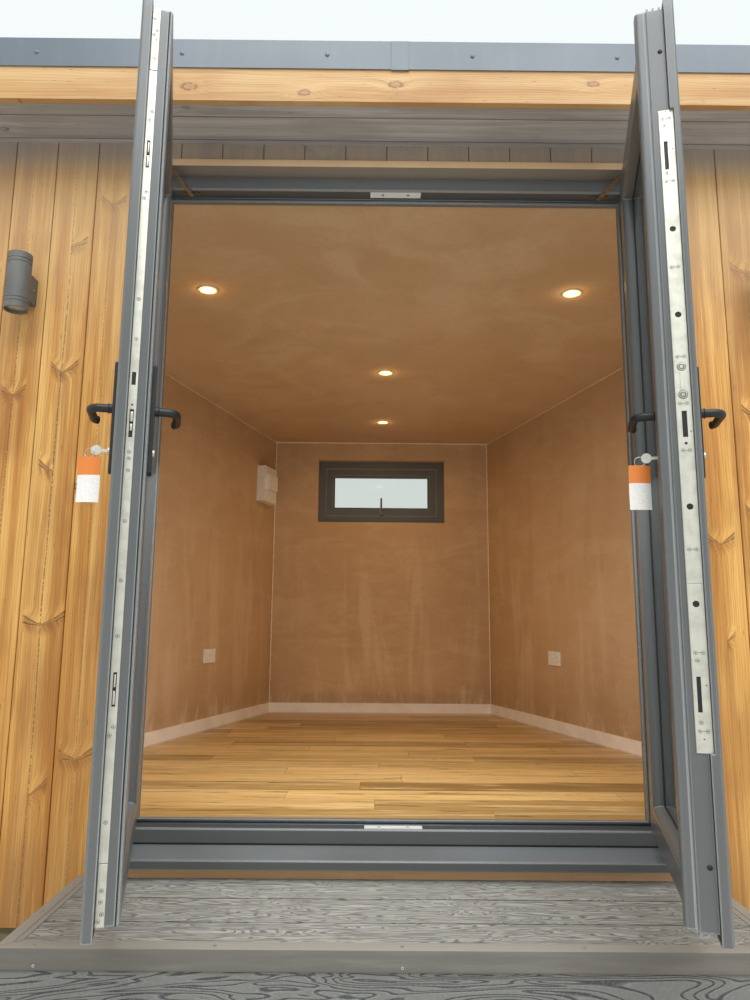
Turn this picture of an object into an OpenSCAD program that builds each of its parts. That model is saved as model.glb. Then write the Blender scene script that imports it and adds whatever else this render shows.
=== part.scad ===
// Garden office pod: a small flat-roofed timber building on a plan that narrows toward the back,
// with a pair of outward-opening glazed doors and one step in front, and a window at the back.
// Origin: on the ground, on the centre line, halfway between the front and back cladding.
// The doors face -Y.

/* [Pod] */
// Width across the front, over the cladding
front_w = 3920; // [3400:10:4500]
// Depth from the front cladding to the back cladding
pod_depth = 3730; // [3200:10:4500]
// Angle by which each side wall closes in toward the back
splay = 14.8; // [0:0.2:16]
// Height of the finished floor above the ground
floor_top = 230; // [200:5:300]
// Drop from the top of the door frame to the ceiling
ceiling_drop = 34; // [0:1:60]
// Height of the wall from the top of the door frame to the soffit
lintel_h = 83; // [60:1:200]
// Thickness of the walls, from the cladding's face to the plaster
wall_t = 190; // [150:5:240]
// Thickness of the cladding boards
cladding_t = 20; // [15:1:28]
// Height of the cladding's lower edge above the ground
cladding_bottom = 57; // [20:1:100]

/* [Base] */
// Height of the bearers that lie on the ground
bearer_h = 50; // [30:5:80]
// Width of a bearer
bearer_w = 110; // [80:5:150]
// Number of bearers from front to back
bearer_count = 5; // [3:1:7]
// Thickness of the laminate floor with its underlay
laminate_t = 12; // [8:1:20]

/* [Roof] */
// Reach of the roof past the cladding at the front, to the fascia's back
front_overhang = 185; // [100:5:300]
// Reach of the roof past the cladding at the sides and the back
side_overhang = 40; // [20:5:120]
// Thickness of the soffit boards
soffit_t = 12; // [9:1:22]
// Height of the timber fascia board
fascia_h = 106; // [80:2:150]
// Thickness of the timber fascia board
fascia_t = 21; // [15:1:28]
// Height of the metal edge trim above the fascia
trim_h = 94; // [60:2:120]
// Depth by which the metal trim stands in front of the fascia
trim_proud = 4; // [4:1:10]
// Thickness of the metal trim's sheet
trim_t = 3; // [1:0.5:3]
// Width of the metal trim's top flange
trim_flange = 70; // [40:5:100]
// Thickness of the ceiling boards
ceiling_t = 15; // [12:1:25]
// Depth of the roof's kerb below the trim's top flange
kerb_drop = 30; // [15:5:50]
// Thickness of the roof covering
covering_t = 5; // [3:1:10]

/* [Door frame] */
// Width of the door frame over its outer edges
door_w = 1598; // [1400:2:1800]
// Height of the door frame, without the cill
door_h = 2062; // [1950:1:2400]
// Depth of the door frame, front to back
frame_d = 70; // [68:1:80]
// Face width of the door frame up to its rebate
frame_face = 42; // [38:1:55]
// Height of the frame's inner upstand over the rebate
upstand_h = 14; // [10:1:22]
// Thickness of the frame's inner upstand
upstand_t = 22; // [16:1:23]
// Depth from the cladding's face to the door frame's outer face
door_recess = 55; // [30:1:75]
// Thickness of the reveal boards round the door
reveal_t = 25; // [18:1:32]
// Depth by which the reveal boards stand in front of the cladding
reveal_proud = 10; // [4:1:20]
// Height of the cill under the door frame, at its back
cill_h = 30; // [26:1:40]
// Reach of the cill's nose in front of the cladding
cill_reach = 30; // [20:1:50]
// Height of the cill's nose face
cill_nose = 25; // [14:1:28]
// Fall of the cill's top from the frame to the nose
cill_fall = 18; // [8:1:22]
// Length of the lock plates on the head and the sill
keep_len = 166; // [120:2:200]

/* [Door leaves] */
// Angle by which the left leaf stands open
left_open = 75.2; // [0:0.1:85]
// Angle by which the right leaf stands open
right_open = 75.8; // [0:0.1:85]
// Overlap of the leaf's flange over the frame's face
leaf_overlap = 9; // [6:1:12]
// Gap between the leaf's body and the frame's rebate
leaf_gap = 12; // [10:1:16]
// Thickness of the leaf's outer flange
flange_t = 23; // [18:1:28]
// Thickness of the leaf's body behind the flange
leaf_body_t = 45; // [40:1:45]
// Face width of the leaf's profile, from the flange's edge to the glass
leaf_face = 105; // [90:1:125]
// Gap between the two flanges where the leaves meet
meeting_gap = 6; // [5:0.5:12]
// Distance of the hinge pin from the flange's edge
pin_out = 20; // [17:0.5:23]
// Distance of the hinge pin in front of the frame's face
pin_stand = 11.5; // [11:0.5:14]
// Thickness of the sealed glass units
glass_t = 24; // [20:1:28]
// Depth from the leaf's outer face to the glass
glass_leg = 13; // [10:1:18]
// Cover of the glass behind its beads
glass_cover = 17; // [12:1:20]
// Thickness of the meeting stile's part indoors, behind the leaf
nosing_t = 17; // [12:1:25]

/* [Door fittings] */
// Height of the lever's spindle above the finished floor
lever_z = 1094; // [950:1:1200]
// Distance from the spindle down to the lock cylinder
cylinder_drop = 92; // [70:1:100]
// Height of the handle's backplate
plate_h = 244; // [200:2:280]
// Height of the spindle above the foot of the backplate
plate_foot = 141; // [110:1:160]
// Width of the handle's backplate
plate_w = 30; // [26:1:36]
// Thickness of the handle's backplate
plate_t = 9; // [6:1:12]
// Distance of the spindle from the edge of the leaf's body
backset = 35; // [28:1:42]
// Length of the lever from its spindle
lever_len = 122; // [90:1:140]
// Distance of the lever's grip from the backplate
lever_stand = 46; // [38:1:55]
// Diameter of the lever's bar
lever_d = 18; // [15:1:20]
// Radius of the lever's bend at the spindle
lever_bend = 22; // [18:1:28]
// Width of the lock strip on the left leaf's edge
strip_w = 17; // [14:1:20]
// Width of the keep strip on the meeting stile
keep_strip_w = 31; // [24:1:34]
// Depth by which the keep strip is let into the flange
keep_let = 8; // [4:1:10]
// Thickness of both strips
strip_t = 2.5; // [2:0.5:3]
// Distance from the spindle to the upper and the lower hook bolt
hook_reach = 577; // [450:1:650]
// Distance from the spindle to the outer cam bolts
outer_cam = 402; // [300:1:440]
// Distance from the spindle to the inner cam bolts
inner_cam = 206; // [160:1:240]
// Diameter of the hinge knuckles
knuckle_d = 14; // [12:0.5:16]
// Height of each hinge
hinge_h = 96; // [70:2:120]
// Distance of the outer hinges from the leaf's ends
hinge_end = 170; // [120:5:300]
// Length of the restrictor arm between its centres
arm_len = 175; // [150:1:200]
// Distance of the restrictor's pivot from the frame's rebate
arm_pivot = 83; // [75:1:100]
// Width of the restrictor arm
arm_w = 16; // [12:1:18]
// Thickness of the restrictor arm
arm_t = 2.5; // [2:0.5:3]

/* [Window] */
// Width of the window frame
window_w = 980; // [600:10:1200]
// Height of the window frame
window_h = 490; // [400:10:700]
// Drop from the ceiling to the top of the window frame
window_drop = 138; // [60:2:400]

/* [Room fittings] */
// Height of the skirting boards
skirting_h = 75; // [50:5:120]
// Thickness of the skirting boards
skirting_t = 12; // [9:1:18]
// Diameter of the downlight rims
downlight_d = 85; // [76:1:110]
// Distance of the front pair of downlights from the centre line
downlight_x = 780; // [500:10:1000]
// Distance of the front pair of downlights from the front wall
downlight_front = 630; // [400:10:700]
// Spacing of the downlight rows from front to back
downlight_pitch = 1050; // [700:10:1100]
// Distance of the sockets from the room's back wall
socket_back = 960; // [200:10:2400]
// Height of the sockets above the floor
socket_up = 450; // [250:10:1200]
// Distance of the consumer unit from the room's back wall
unit_back = 219; // [180:1:2400]
// Height of the consumer unit above the floor
unit_up = 1670; // [1200:10:1800]

/* [Wall lights] */
// Distance of each wall light from the centre line
wall_light_x = 1140; // [1050:5:1300]
// Drop from the top of the door frame to the middle of the wall lights
wall_light_drop = 437; // [250:1:700]
// Diameter of the wall lights' tube
wall_light_d = 70; // [54:1:90]
// Length of the wall lights' tube
wall_light_h = 176; // [150:2:240]
// Distance from the wall to the wall lights' tube
wall_light_stand = 45; // [30:1:60]

/* [Step] */
// Width of the step
step_w = 1740; // [1500:10:2000]
// Height of the step's boards above the ground
step_h = 187; // [150:1:195]
// Width of one step board
board_w = 150; // [120:1:160]
// Gap between the step boards
board_gap = 6; // [3:1:8]
// Thickness of the step boards
board_t = 23; // [18:1:28]
// Number of boards in the step
board_count = 3; // [2:1:4]
// Width of the corner trim's legs
edging_w = 45; // [35:1:60]
// Thickness of the corner trim
edging_t = 3; // [2:0.5:4]

/* [Hidden] */
$fn = 48;

timber_colour = "#b9793f";
fascia_colour = "#c79a55";
anthracite = "#3f454c";
plaster_colour = "#c9ad98";
silver = "#b9bcc0";
black = "#1d1f21";

// Places from front to back
front_y = -pod_depth / 2;
back_y = pod_depth / 2;
wall_front_y = front_y + cladding_t;
wall_back_y = back_y - cladding_t;
room_front_y = front_y + wall_t;
room_back_y = back_y - wall_t;

// Heights above the ground
floor_frame_top = floor_top - laminate_t;
door_top = floor_top + cill_h + door_h;
ceiling_z = door_top - ceiling_drop;
soffit_z = door_top + lintel_h;
wall_top = soffit_z + soffit_t;
fascia_top = soffit_z + fascia_h;
roof_top = fascia_top + trim_h;
covering_z = roof_top - kerb_drop;

// Joint between the slanted faces of neighbouring pieces
joint = 0.2;

// Half the pod's width at y, with the side line moved in by inset square to the wall
function half_w(y, inset) = front_w / 2 - (y - front_y) * tan(splay) - inset / cos(splay);

// Slab over the whole plan between y0 and y1, with the sides moved in by inset
module plan_slab(y0, y1, inset, z0, z1) {
    translate([0, 0, z0])
        linear_extrude(z1 - z0)
            polygon([
                [-half_w(y0, inset), y0], [half_w(y0, inset), y0],
                [half_w(y1, inset), y1], [-half_w(y1, inset), y1]
            ]);
}

// Strip along the right side wall between two insets, from y0 to y1
module side_strip(y0, y1, inset_out, inset_in, z0, z1) {
    translate([0, 0, z0])
        linear_extrude(z1 - z0)
            polygon([
                [half_w(y0, inset_in), y0], [half_w(y0, inset_out), y0],
                [half_w(y1, inset_out), y1], [half_w(y1, inset_in), y1]
            ]);
}

module box(x0, x1, y0, y1, z0, z1) {
    translate([x0, y0, z0])
        cube([x1 - x0, y1 - y0, z1 - z0]);
}

// Points along an arc, from angle a0 to a1 in n steps
function arc(cx, cy, rx, ry, a0, a1, n) =
    [for (i = [0 : n]) [cx + rx * cos(a0 + (a1 - a0) * i / n), cy + ry * sin(a0 + (a1 - a0) * i / n)]];

// Solid between y0 and y1 over an outline drawn as [x, z], seen from the front
module upright(y0, y1, points) {
    translate([0, y1, 0])
        rotate([90, 0, 0])
            linear_extrude(y1 - y0)
                polygon(points);
}

// One mitred length of a welded frame that fills x0 to x1 and z0 to z1.
// Each point of its section is [distance in from the frame's outer edge, y].
module frame_length(side, section, x0, x1, z0, z1) {
    reach = max([for (p = section) p[0]]) + 1;
    y0 = min([for (p = section) p[1]]) - 1;
    y1 = max([for (p = section) p[1]]) + 1;
    intersection() {
        frame_bar(side, section, x0, x1, z0, z1);
        mitre_region(side, reach, y0, y1, x0, x1, z0, z1);
    }
}

// One side's section, extruded straight from corner to corner
module frame_bar(side, section, x0, x1, z0, z1) {
    if (side == "left")
        translate([x0, 0, z0]) linear_extrude(z1 - z0) polygon(section);
    if (side == "right")
        translate([x1, 0, z0]) mirror([1, 0, 0]) linear_extrude(z1 - z0) polygon(section);
    if (side == "sill")
        translate([x0, 0, z0])
            rotate([90, 0, 90])
                linear_extrude(x1 - x0) polygon([for (p = section) [p[1], p[0]]]);
    if (side == "head")
        translate([x0, 0, z1])
            rotate([90, 0, 90])
                linear_extrude(x1 - x0) polygon([for (p = section) [p[1], -p[0]]]);
}

// Space between one side's two mitres
module mitre_region(side, reach, y0, y1, x0, x1, z0, z1) {
    if (side == "left")
        upright(y0, y1, [[x0, z0], [x0 + reach, z0 + reach], [x0 + reach, z1 - reach], [x0, z1]]);
    if (side == "right")
        upright(y0, y1, [[x1, z0], [x1 - reach, z0 + reach], [x1 - reach, z1 - reach], [x1, z1]]);
    if (side == "sill")
        upright(y0, y1, [[x0, z0], [x0 + reach, z0 + reach], [x1 - reach, z0 + reach], [x1, z0]]);
    if (side == "head")
        upright(y0, y1, [[x0, z1], [x0 + reach, z1 - reach], [x1 - reach, z1 - reach], [x1, z1]]);
}

// All four lengths, welded at the mitres
module welded_frame(section, x0, x1, z0, z1) {
    for (side = ["left", "right", "sill", "head"])
        frame_length(side, section, x0, x1, z0, z1);
}

// Door places: y is taken from the frame's outer face, z from the ground
frame_y = front_y + door_recess;
frame_back_y = frame_y + frame_d;
frame_z0 = floor_top + cill_h;
frame_z1 = door_top;
door_half = door_w / 2;
rebate_half = door_half - frame_face;
rebate_z0 = frame_z0 + frame_face;
rebate_z1 = frame_z1 - frame_face;
upstand_y = frame_back_y - upstand_t;
opening_half = door_half + reveal_t;
inner_head_z = min(frame_z1, ceiling_z);

// Window places
window_z1 = ceiling_z - window_drop;
window_z0 = window_z1 - window_h;
window_y = back_y - door_recess - frame_d;

// Base and floor
module base_bearers() {
    pitch = (wall_back_y - wall_front_y - bearer_w) / (bearer_count - 1);
    color("#6f6250")
        for (i = [0 : bearer_count - 1]) {
            y0 = wall_front_y + i * pitch;
            plan_slab(y0, y0 + bearer_w, cladding_t + joint, 0, bearer_h);
        }
}

module floor_frame() {
    color("#8d7a5c")
        plan_slab(wall_front_y, wall_back_y, cladding_t + joint, bearer_h, floor_frame_top);
}

module laminate_floor() {
    color("#b98a54")
        union() {
            plan_slab(room_front_y, room_back_y, wall_t + joint, floor_frame_top, floor_top);
            box(-door_half, door_half, frame_back_y, room_front_y + 1, floor_frame_top, floor_top);
        }
}

// Walls
module front_wall_side() {
    z0 = floor_frame_top;
    color(plaster_colour)
        translate([0, 0, z0])
            linear_extrude(wall_top - z0)
                polygon([
                    [opening_half, wall_front_y], [opening_half, frame_back_y],
                    [door_half, frame_back_y], [door_half, room_front_y],
                    [half_w(room_front_y, cladding_t + joint), room_front_y],
                    [half_w(wall_front_y, cladding_t + joint), wall_front_y]
                ]);
}

module front_wall_left() {
    mirror([1, 0, 0]) front_wall_side();
}

module front_wall_right() {
    front_wall_side();
}

module front_wall_over_door() {
    color(plaster_colour) {
        difference() {
            box(-opening_half, opening_half, wall_front_y, room_front_y, inner_head_z, wall_top);
            box(-front_w, front_w, wall_front_y - 1, frame_back_y, 0, frame_z1 + reveal_t);
            box(-front_w, -door_half, frame_back_y - 1, room_front_y + 1, 0, roof_top);
            box(door_half, front_w, frame_back_y - 1, room_front_y + 1, 0, roof_top);
        }
    }
}

module side_wall() {
    color(plaster_colour)
        side_strip(room_front_y, room_back_y, cladding_t + joint, wall_t, floor_frame_top, wall_top);
}

module left_wall() {
    mirror([1, 0, 0]) side_wall();
}

module right_wall() {
    side_wall();
}

module back_wall() {
    color(plaster_colour)
        difference() {
            plan_slab(room_back_y, wall_back_y, cladding_t + joint, floor_frame_top, wall_top);
            box(-window_w / 2, window_w / 2, room_back_y - 1, back_y, window_z0, window_z1);
        }
}

// Cladding
module front_cladding() {
    color(timber_colour)
        difference() {
            plan_slab(front_y, wall_front_y, 0, cladding_bottom, soffit_z);
            box(-opening_half, opening_half, front_y - 1, wall_front_y + 1,
                frame_z0 - cill_h, frame_z1 + reveal_t);
        }
}

module side_cladding() {
    color(timber_colour)
        side_strip(wall_front_y, wall_back_y, 0, cladding_t, cladding_bottom, soffit_z);
}

module left_cladding() {
    mirror([1, 0, 0]) side_cladding();
}

module right_cladding() {
    side_cladding();
}

module back_cladding() {
    color(timber_colour)
        difference() {
            plan_slab(wall_back_y, back_y, 0, cladding_bottom, soffit_z);
            box(-window_w / 2, window_w / 2, wall_back_y - 1, back_y + 1, window_z0, window_z1);
        }
}

// Roof
downlight_hole = downlight_d - 15;
kerb_w = trim_flange - 10;
fascia_tuck = 12;

// Slab over the roof's whole plan, reaching out past the panel's edge by reach
module roof_slab(reach, z0, z1) {
    plan_slab(front_y - front_overhang - reach, back_y + side_overhang + reach,
              -side_overhang - reach, z0, z1);
}

// Ring that follows the roof's edge, between two reaches past the panel's edge
module roof_ring(reach_out, reach_in, z0, z1) {
    difference() {
        roof_slab(reach_out, z0, z1);
        roof_slab(reach_in, z0 - 1, z1 + 1);
    }
}

module ceiling() {
    color("#cdb7a4")
        difference() {
            plan_slab(room_front_y, room_back_y, wall_t + joint, ceiling_z, ceiling_z + ceiling_t);
            downlight_places()
                cylinder(d = downlight_hole, h = 3 * ceiling_t, center = true);
        }
}

// Insulated panel with a timber kerb round its edge
module roof_panel() {
    color("#8d7a5c")
        difference() {
            roof_slab(-joint, wall_top, roof_top - trim_t);
            roof_slab(-kerb_w, covering_z - covering_t, roof_top);
        }
}

module roof_covering() {
    color("#3a3d40")
        roof_slab(-kerb_w - joint, covering_z - covering_t, covering_z);
}

// Folded sheet: a face in front of the fascia's top edge and a flange over the kerb
module roof_trim() {
    face = fascia_t + trim_proud;
    color("#4b535c")
        union() {
            roof_ring(face, face - trim_t, fascia_top, roof_top);
            roof_ring(face, -trim_flange, roof_top - trim_t, roof_top);
            roof_ring(-kerb_w - joint, -trim_flange, covering_z, roof_top);
        }
}

module fascia() {
    color(fascia_colour)
        roof_ring(fascia_t, 0, soffit_z, fascia_top + fascia_tuck);
}

module soffit() {
    color("#8a6a4a")
        difference() {
            roof_slab(-joint, soffit_z, wall_top);
            plan_slab(wall_front_y, wall_back_y, cladding_t, soffit_z - 1, wall_top + 1);
        }
}

// Door reveal, frame and cill
module door_reveal() {
    y0 = front_y - reveal_proud;
    color(timber_colour)
        difference() {
            box(-opening_half, opening_half, y0, frame_back_y, frame_z0 - cill_h, frame_z1 + reveal_t);
            box(-door_half, door_half, y0 - 1, frame_back_y + 1, 0, frame_z1);
        }
}

// Section of the door frame: outer face, eased arris, rebate, and the upstand with its seal groove
frame_ease = 3;
seal_groove = 3;
seal_in = frame_face + seal_groove;
rebate_in = frame_face + upstand_h;
door_section = [
    [0, frame_y], [frame_face - frame_ease, frame_y],
    [frame_face, frame_y + frame_ease], [frame_face, upstand_y],
    [seal_in, upstand_y], [seal_in, upstand_y + seal_groove],
    [seal_in + seal_groove, upstand_y + seal_groove], [seal_in + seal_groove, upstand_y],
    [rebate_in - frame_ease, upstand_y], [rebate_in, upstand_y + frame_ease], [rebate_in, frame_back_y],
    [0, frame_back_y]
];

module door_length(side) {
    color(anthracite) frame_length(side, door_section, -door_half, door_half, frame_z0, frame_z1);
}

module door_frame_left() { door_length("left"); }
module door_frame_right() { door_length("right"); }
module door_frame_head() { door_length("head"); }
module door_frame_sill() { door_length("sill"); }

// Sloping cill with a drip nose
cill_lip = 10;

module door_cill() {
    nose_y = front_y - cill_reach;
    z1 = frame_z0;
    nose_z = z1 - cill_fall - cill_nose;
    color(anthracite)
        translate([-door_half, 0, 0])
            rotate([90, 0, 90])
                linear_extrude(door_w)
                    polygon([
                        [frame_back_y, z1 - cill_h], [frame_back_y, z1], [frame_y, z1],
                        [nose_y + frame_ease, z1 - cill_fall], [nose_y, z1 - cill_fall - frame_ease],
                        [nose_y, nose_z],
                        [nose_y + cill_lip, nose_z], [nose_y + cill_lip, z1 - cill_h]
                    ]);
}

// Leaves, drawn closed on the right and then swung open about the hinge pin
flange_half = rebate_half + leaf_overlap;
flange_z0 = rebate_z0 - leaf_overlap;
flange_z1 = rebate_z1 + leaf_overlap;
flange_free = meeting_gap / 2;
body_in = leaf_overlap + leaf_gap;
body_hinge = flange_half - body_in;
body_free = flange_free + body_in;
body_z0 = flange_z0 + body_in;
body_z1 = flange_z1 - body_in;
leaf_front_y = frame_y - flange_t;
leaf_back_y = frame_y + leaf_body_t;
glass_front_y = leaf_front_y + glass_leg;
glass_back_y = glass_front_y + glass_t;
pin_x = flange_half + pin_out;
pin_y = frame_y - pin_stand;

// Carries the right leaf's closed shapes to where the open leaf holds them
module swing(open) {
    translate([pin_x, pin_y, 0])
        rotate([0, 0, open])
            translate([-pin_x, -pin_y, 0])
                children();
}

module swing_right() { swing(right_open) children(); }
module swing_left() { mirror([1, 0, 0]) swing(left_open) children(); }

// Section of the leaf: rounded flange, sloped glazing leg, glass rebate, and a body with a hardware groove
edge_r = 7;
slope_w = 16;
slope_d = 8;
groove_w = 12;
groove_d = 6;
groove_y = frame_y + 3;
body_seal_y = leaf_back_y - 9;
gasket_gap = 0.8;
leaf_section = concat(
    arc(edge_r, leaf_front_y + edge_r, edge_r, edge_r, 180, 270, 4),
    [
        [leaf_face - slope_w, leaf_front_y], [leaf_face, leaf_front_y + slope_d], [leaf_face, glass_front_y],
        [leaf_face - glass_cover, glass_front_y], [leaf_face - glass_cover, leaf_back_y],
        [body_in + frame_ease, leaf_back_y], [body_in, leaf_back_y - frame_ease],
        [body_in, body_seal_y + seal_groove], [body_in + seal_groove, body_seal_y + seal_groove],
        [body_in + seal_groove, body_seal_y], [body_in, body_seal_y],
        [body_in, groove_y + groove_w], [body_in + groove_d, groove_y + groove_w],
        [body_in + groove_d, groove_y], [body_in, groove_y],
        [body_in, frame_y - gasket_gap], [0, frame_y - gasket_gap]
    ]
);

module leaf_frame() {
    color(anthracite)
        difference() {
            welded_frame(leaf_section, flange_free, flange_half, flange_z0, flange_z1);
            spindle_place() cylinder(d = spindle_bore, h = 4 * leaf_body_t, center = true);
            cylinder_place() cylinder(d = cylinder_bore, h = 4 * leaf_body_t, center = true);
        }
}

// Outline of the glazing rebate, drawn in by cut
module glazing_box(cut, y0, y1) {
    e = leaf_face - glass_cover + cut;
    box(flange_free + e, flange_half - e, y0, y1, flange_z0 + e, flange_z1 - e);
}

glass_edge = 3;

module leaf_glass() {
    color("#a9c4cc", 0.35) glazing_box(glass_edge, glass_front_y, glass_back_y);
}

// Rounded glazing bead: a short upright at the glass and a quarter ellipse out to the leaf's inner face
bead_foot = 4;
bead_section = concat(
    [[0, glass_back_y], [glass_cover, glass_back_y]],
    arc(1, glass_back_y + bead_foot, glass_cover - 1, leaf_back_y - glass_back_y - bead_foot, 0, 90, 6),
    [[0, leaf_back_y]]
);

module leaf_beads() {
    e = leaf_face - glass_cover;
    color(anthracite)
        welded_frame(bead_section, flange_free + e, flange_half - e, flange_z0 + e, flange_z1 - e);
}

// Handle places on the closed right leaf
spindle_bore = 23;
cylinder_bore = 24;
barrel_d = 17;
collar_d = lever_d + 2;
collar_bore = collar_d + 0.6;
spindle_x = body_free + backset;
spindle_z = floor_top + lever_z;
cylinder_z = spindle_z - cylinder_drop;
plate_z0 = spindle_z - plate_foot;

module spindle_place() {
    translate([spindle_x, frame_y, spindle_z]) rotate([90, 0, 0]) children();
}

module cylinder_place() {
    translate([spindle_x, frame_y, cylinder_z]) rotate([90, 0, 0]) children();
}

// One backplate with rounded ends and its bores, standing on the plane y
module backplate(y) {
    r = plate_w / 2;
    rise = 6;
    difference() {
        upright(y, y + plate_t, concat(
            arc(spindle_x, plate_z0 + rise, r, rise, 180, 360, 10),
            arc(spindle_x, plate_z0 + plate_h - rise, r, rise, 0, 180, 10)
        ));
        spindle_place() cylinder(d = collar_bore, h = 6 * leaf_body_t, center = true);
        cylinder_place() cylinder(d = barrel_d, h = 6 * leaf_body_t, center = true);
    }
}

module handle_plates() {
    color(black) {
        backplate(leaf_front_y - plate_t);
        backplate(leaf_back_y);
    }
}

// Centre line of one lever as [x, y, direction]: out of the collar, round the bend, along, and a short return
return_bend = 15;
return_angle = 62;
collar_h = 9;
grip_end = lever_len - lever_bend - lever_d / 2;
lever_path = concat(
    [[0, collar_h - 3, 90]],
    [for (a = [0 : 15 : 90])
        [lever_bend * (1 - cos(a)), lever_stand - lever_bend + lever_bend * sin(a), 90 - a]],
    [for (a = [0 : return_angle / 4 : return_angle])
        [grip_end + return_bend * sin(a), lever_stand - return_bend * (1 - cos(a)), -a]]
);
lever_sides = 16;

// Round bar swept along the centre line, standing out from the plane Y = 0
module lever_bar() {
    n = lever_sides;
    rings = [for (p = lever_path, i = [0 : n - 1])
        let (t = 360 * i / n, r = lever_d / 2)
        [p[0] - r * cos(t) * sin(p[2]), p[1] + r * cos(t) * cos(p[2]), r * sin(t)]];
    last = len(lever_path) - 1;
    walls = [for (k = [0 : last - 1], i = [0 : n - 1])
        [k * n + i, (k + 1) * n + i, (k + 1) * n + (i + 1) % n, k * n + (i + 1) % n]];
    ends = [[for (i = [0 : n - 1]) i], [for (i = [n - 1 : -1 : 0]) last * n + i]];
    polyhedron(rings, concat(walls, ends));
}

// Inside and outside levers on one spindle, turning together
module lever_pair() {
    y0 = leaf_front_y - plate_t;
    y1 = leaf_back_y + plate_t;
    color(black)
        translate([spindle_x, 0, spindle_z])
            union() {
                translate([0, y1 + collar_h, 0])
                    rotate([90, 0, 0])
                        cylinder(d = collar_d, h = y1 - y0 + 2 * collar_h);
                translate([0, y1, 0]) lever_bar();
                translate([0, y0, 0]) mirror([0, 1, 0]) lever_bar();
            }
}

// Lock barrel through the leaf, with the key on one side
key_len = 34;
key_bow = 22;
key_t = 2.4;
barrel_proud = 4;

module key_and_barrel(outside) {
    y0 = leaf_front_y - plate_t - barrel_proud;
    y1 = leaf_back_y + plate_t + barrel_proud;
    tip_y = outside ? y0 : y1;
    away = outside ? -1 : 1;
    bow_r = key_bow / 2;
    shank = key_len - key_bow;
    color(silver)
        union() {
            translate([spindle_x, y1, cylinder_z])
                rotate([90, 0, 0])
                    cylinder(d = barrel_d - 0.4, h = y1 - y0);
            translate([spindle_x - key_t / 2, tip_y, cylinder_z])
                rotate([90, 0, 90])
                    linear_extrude(key_t)
                        polygon(concat(
                            [[0, 3], [0, -3], [away * shank, -3]],
                            arc(away * (shank + bow_r), 0, away * bow_r, bow_r, 195, 525, 12),
                            [[away * shank, 3]]
                        ));
        }
}

// Hinges: fixed knuckles, pin and plate on the frame, and a knuckle with an angle plate on the leaf
hinge_places = [flange_z0 + hinge_end, (flange_z0 + flange_z1) / 2, flange_z1 - hinge_end];
pin_d = 8;
pin_bore = pin_d + 0.5;
knuckle_h = hinge_h / 3;
knuckle_gap = 0.5;
hinge_plate_t = 2.5;
web_t = 4;
hinge_face = 32;

module hinge_frame_half() {
    for (z = hinge_places) {
        translate([pin_x, pin_y, z - hinge_h / 2]) cylinder(d = pin_d, h = hinge_h);
        for (dz = [-hinge_h / 2, hinge_h / 2 - knuckle_h])
            translate([0, 0, z + dz]) {
                translate([pin_x, pin_y, 0]) cylinder(d = knuckle_d, h = knuckle_h - knuckle_gap);
                box(pin_x - web_t / 2, pin_x + web_t / 2, pin_y, frame_y, 0, knuckle_h - knuckle_gap);
            }
        box(pin_x - 9, pin_x + 9, frame_y - hinge_plate_t, frame_y, z - hinge_h / 2, z + hinge_h / 2);
    }
}

module hinge_leaf_half() {
    z1 = knuckle_h - knuckle_gap;
    face_y = leaf_front_y - hinge_plate_t;
    for (z = hinge_places)
        translate([0, 0, z - knuckle_h / 2])
            difference() {
                union() {
                    translate([pin_x, pin_y, 0]) cylinder(d = knuckle_d, h = z1);
                    box(flange_half, pin_x, pin_y - web_t / 2, pin_y + web_t / 2, 0, z1);
                    box(flange_half, flange_half + hinge_plate_t, face_y, frame_y - 4, 0, z1);
                    box(flange_half - hinge_face, flange_half + hinge_plate_t, face_y, leaf_front_y, 0, z1);
                }
                translate([pin_x, pin_y, -1]) cylinder(d = pin_bore, h = knuckle_h + 2);
            }
}

// Restrictors: an arm turns under the frame head and its end runs over a track on the leaf's top.
// The arm's angle follows from the leaf's: the end stays over the track when closed and when open.
arm_pivot_x = rebate_half - arm_pivot;
arm_line_y = frame_y + 27;
arm_z = rebate_z1 - 6;
pivot_a = pin_x - arm_pivot_x;
pivot_c = arm_line_y - pin_y;
rivet_d = 8;
rivet_h = 5.5;
restrictor_plate_t = 2;
restrictor_plate_w = 20;
restrictor_plate_half = 30;
track_w = 20;
track_h = 3.5;
track_slot = 8;
track_wall = 8;
track_end = 18;
track_hinge_end = 100;

function arm_turn(open) = open + asin((pivot_a * sin(open) - pivot_c * (1 - cos(open))) / arm_len);

module restrictor_plate() {
    difference() {
        box(arm_pivot_x - restrictor_plate_half, arm_pivot_x + restrictor_plate_half,
            arm_line_y - restrictor_plate_w / 2, arm_line_y + restrictor_plate_w / 2,
            rebate_z1 - restrictor_plate_t, rebate_z1);
        translate([arm_pivot_x, arm_line_y, rebate_z1 - rivet_h])
            cylinder(d = rivet_d + 0.4, h = 2 * rivet_h);
    }
}

// Track on the leaf's top edge, as long as the arm's end travels along it
module restrictor_track() {
    x0 = pin_x - pivot_a - arm_len - track_end;
    x1 = pin_x - track_hinge_end;
    difference() {
        box(x0, x1, arm_line_y - track_w / 2, arm_line_y + track_w / 2, body_z1, body_z1 + track_h);
        box(x0 + track_wall, x1 - track_wall, arm_line_y - track_slot / 2, arm_line_y + track_slot / 2,
            body_z1 + 1, body_z1 + track_h + 1);
    }
}

module restrictor_arm(open) {
    color("#a89678")
        translate([arm_pivot_x, arm_line_y, arm_z])
            rotate([0, 0, arm_turn(open)])
                union() {
                    translate([-arm_len, -arm_w / 2, 0]) cube([arm_len, arm_w, arm_t]);
                    cylinder(d = arm_w, h = arm_t);
                    translate([-arm_len, 0, 0]) cylinder(d = arm_w, h = arm_t);
                    cylinder(d = rivet_d, h = rivet_h);
                }
}

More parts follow.
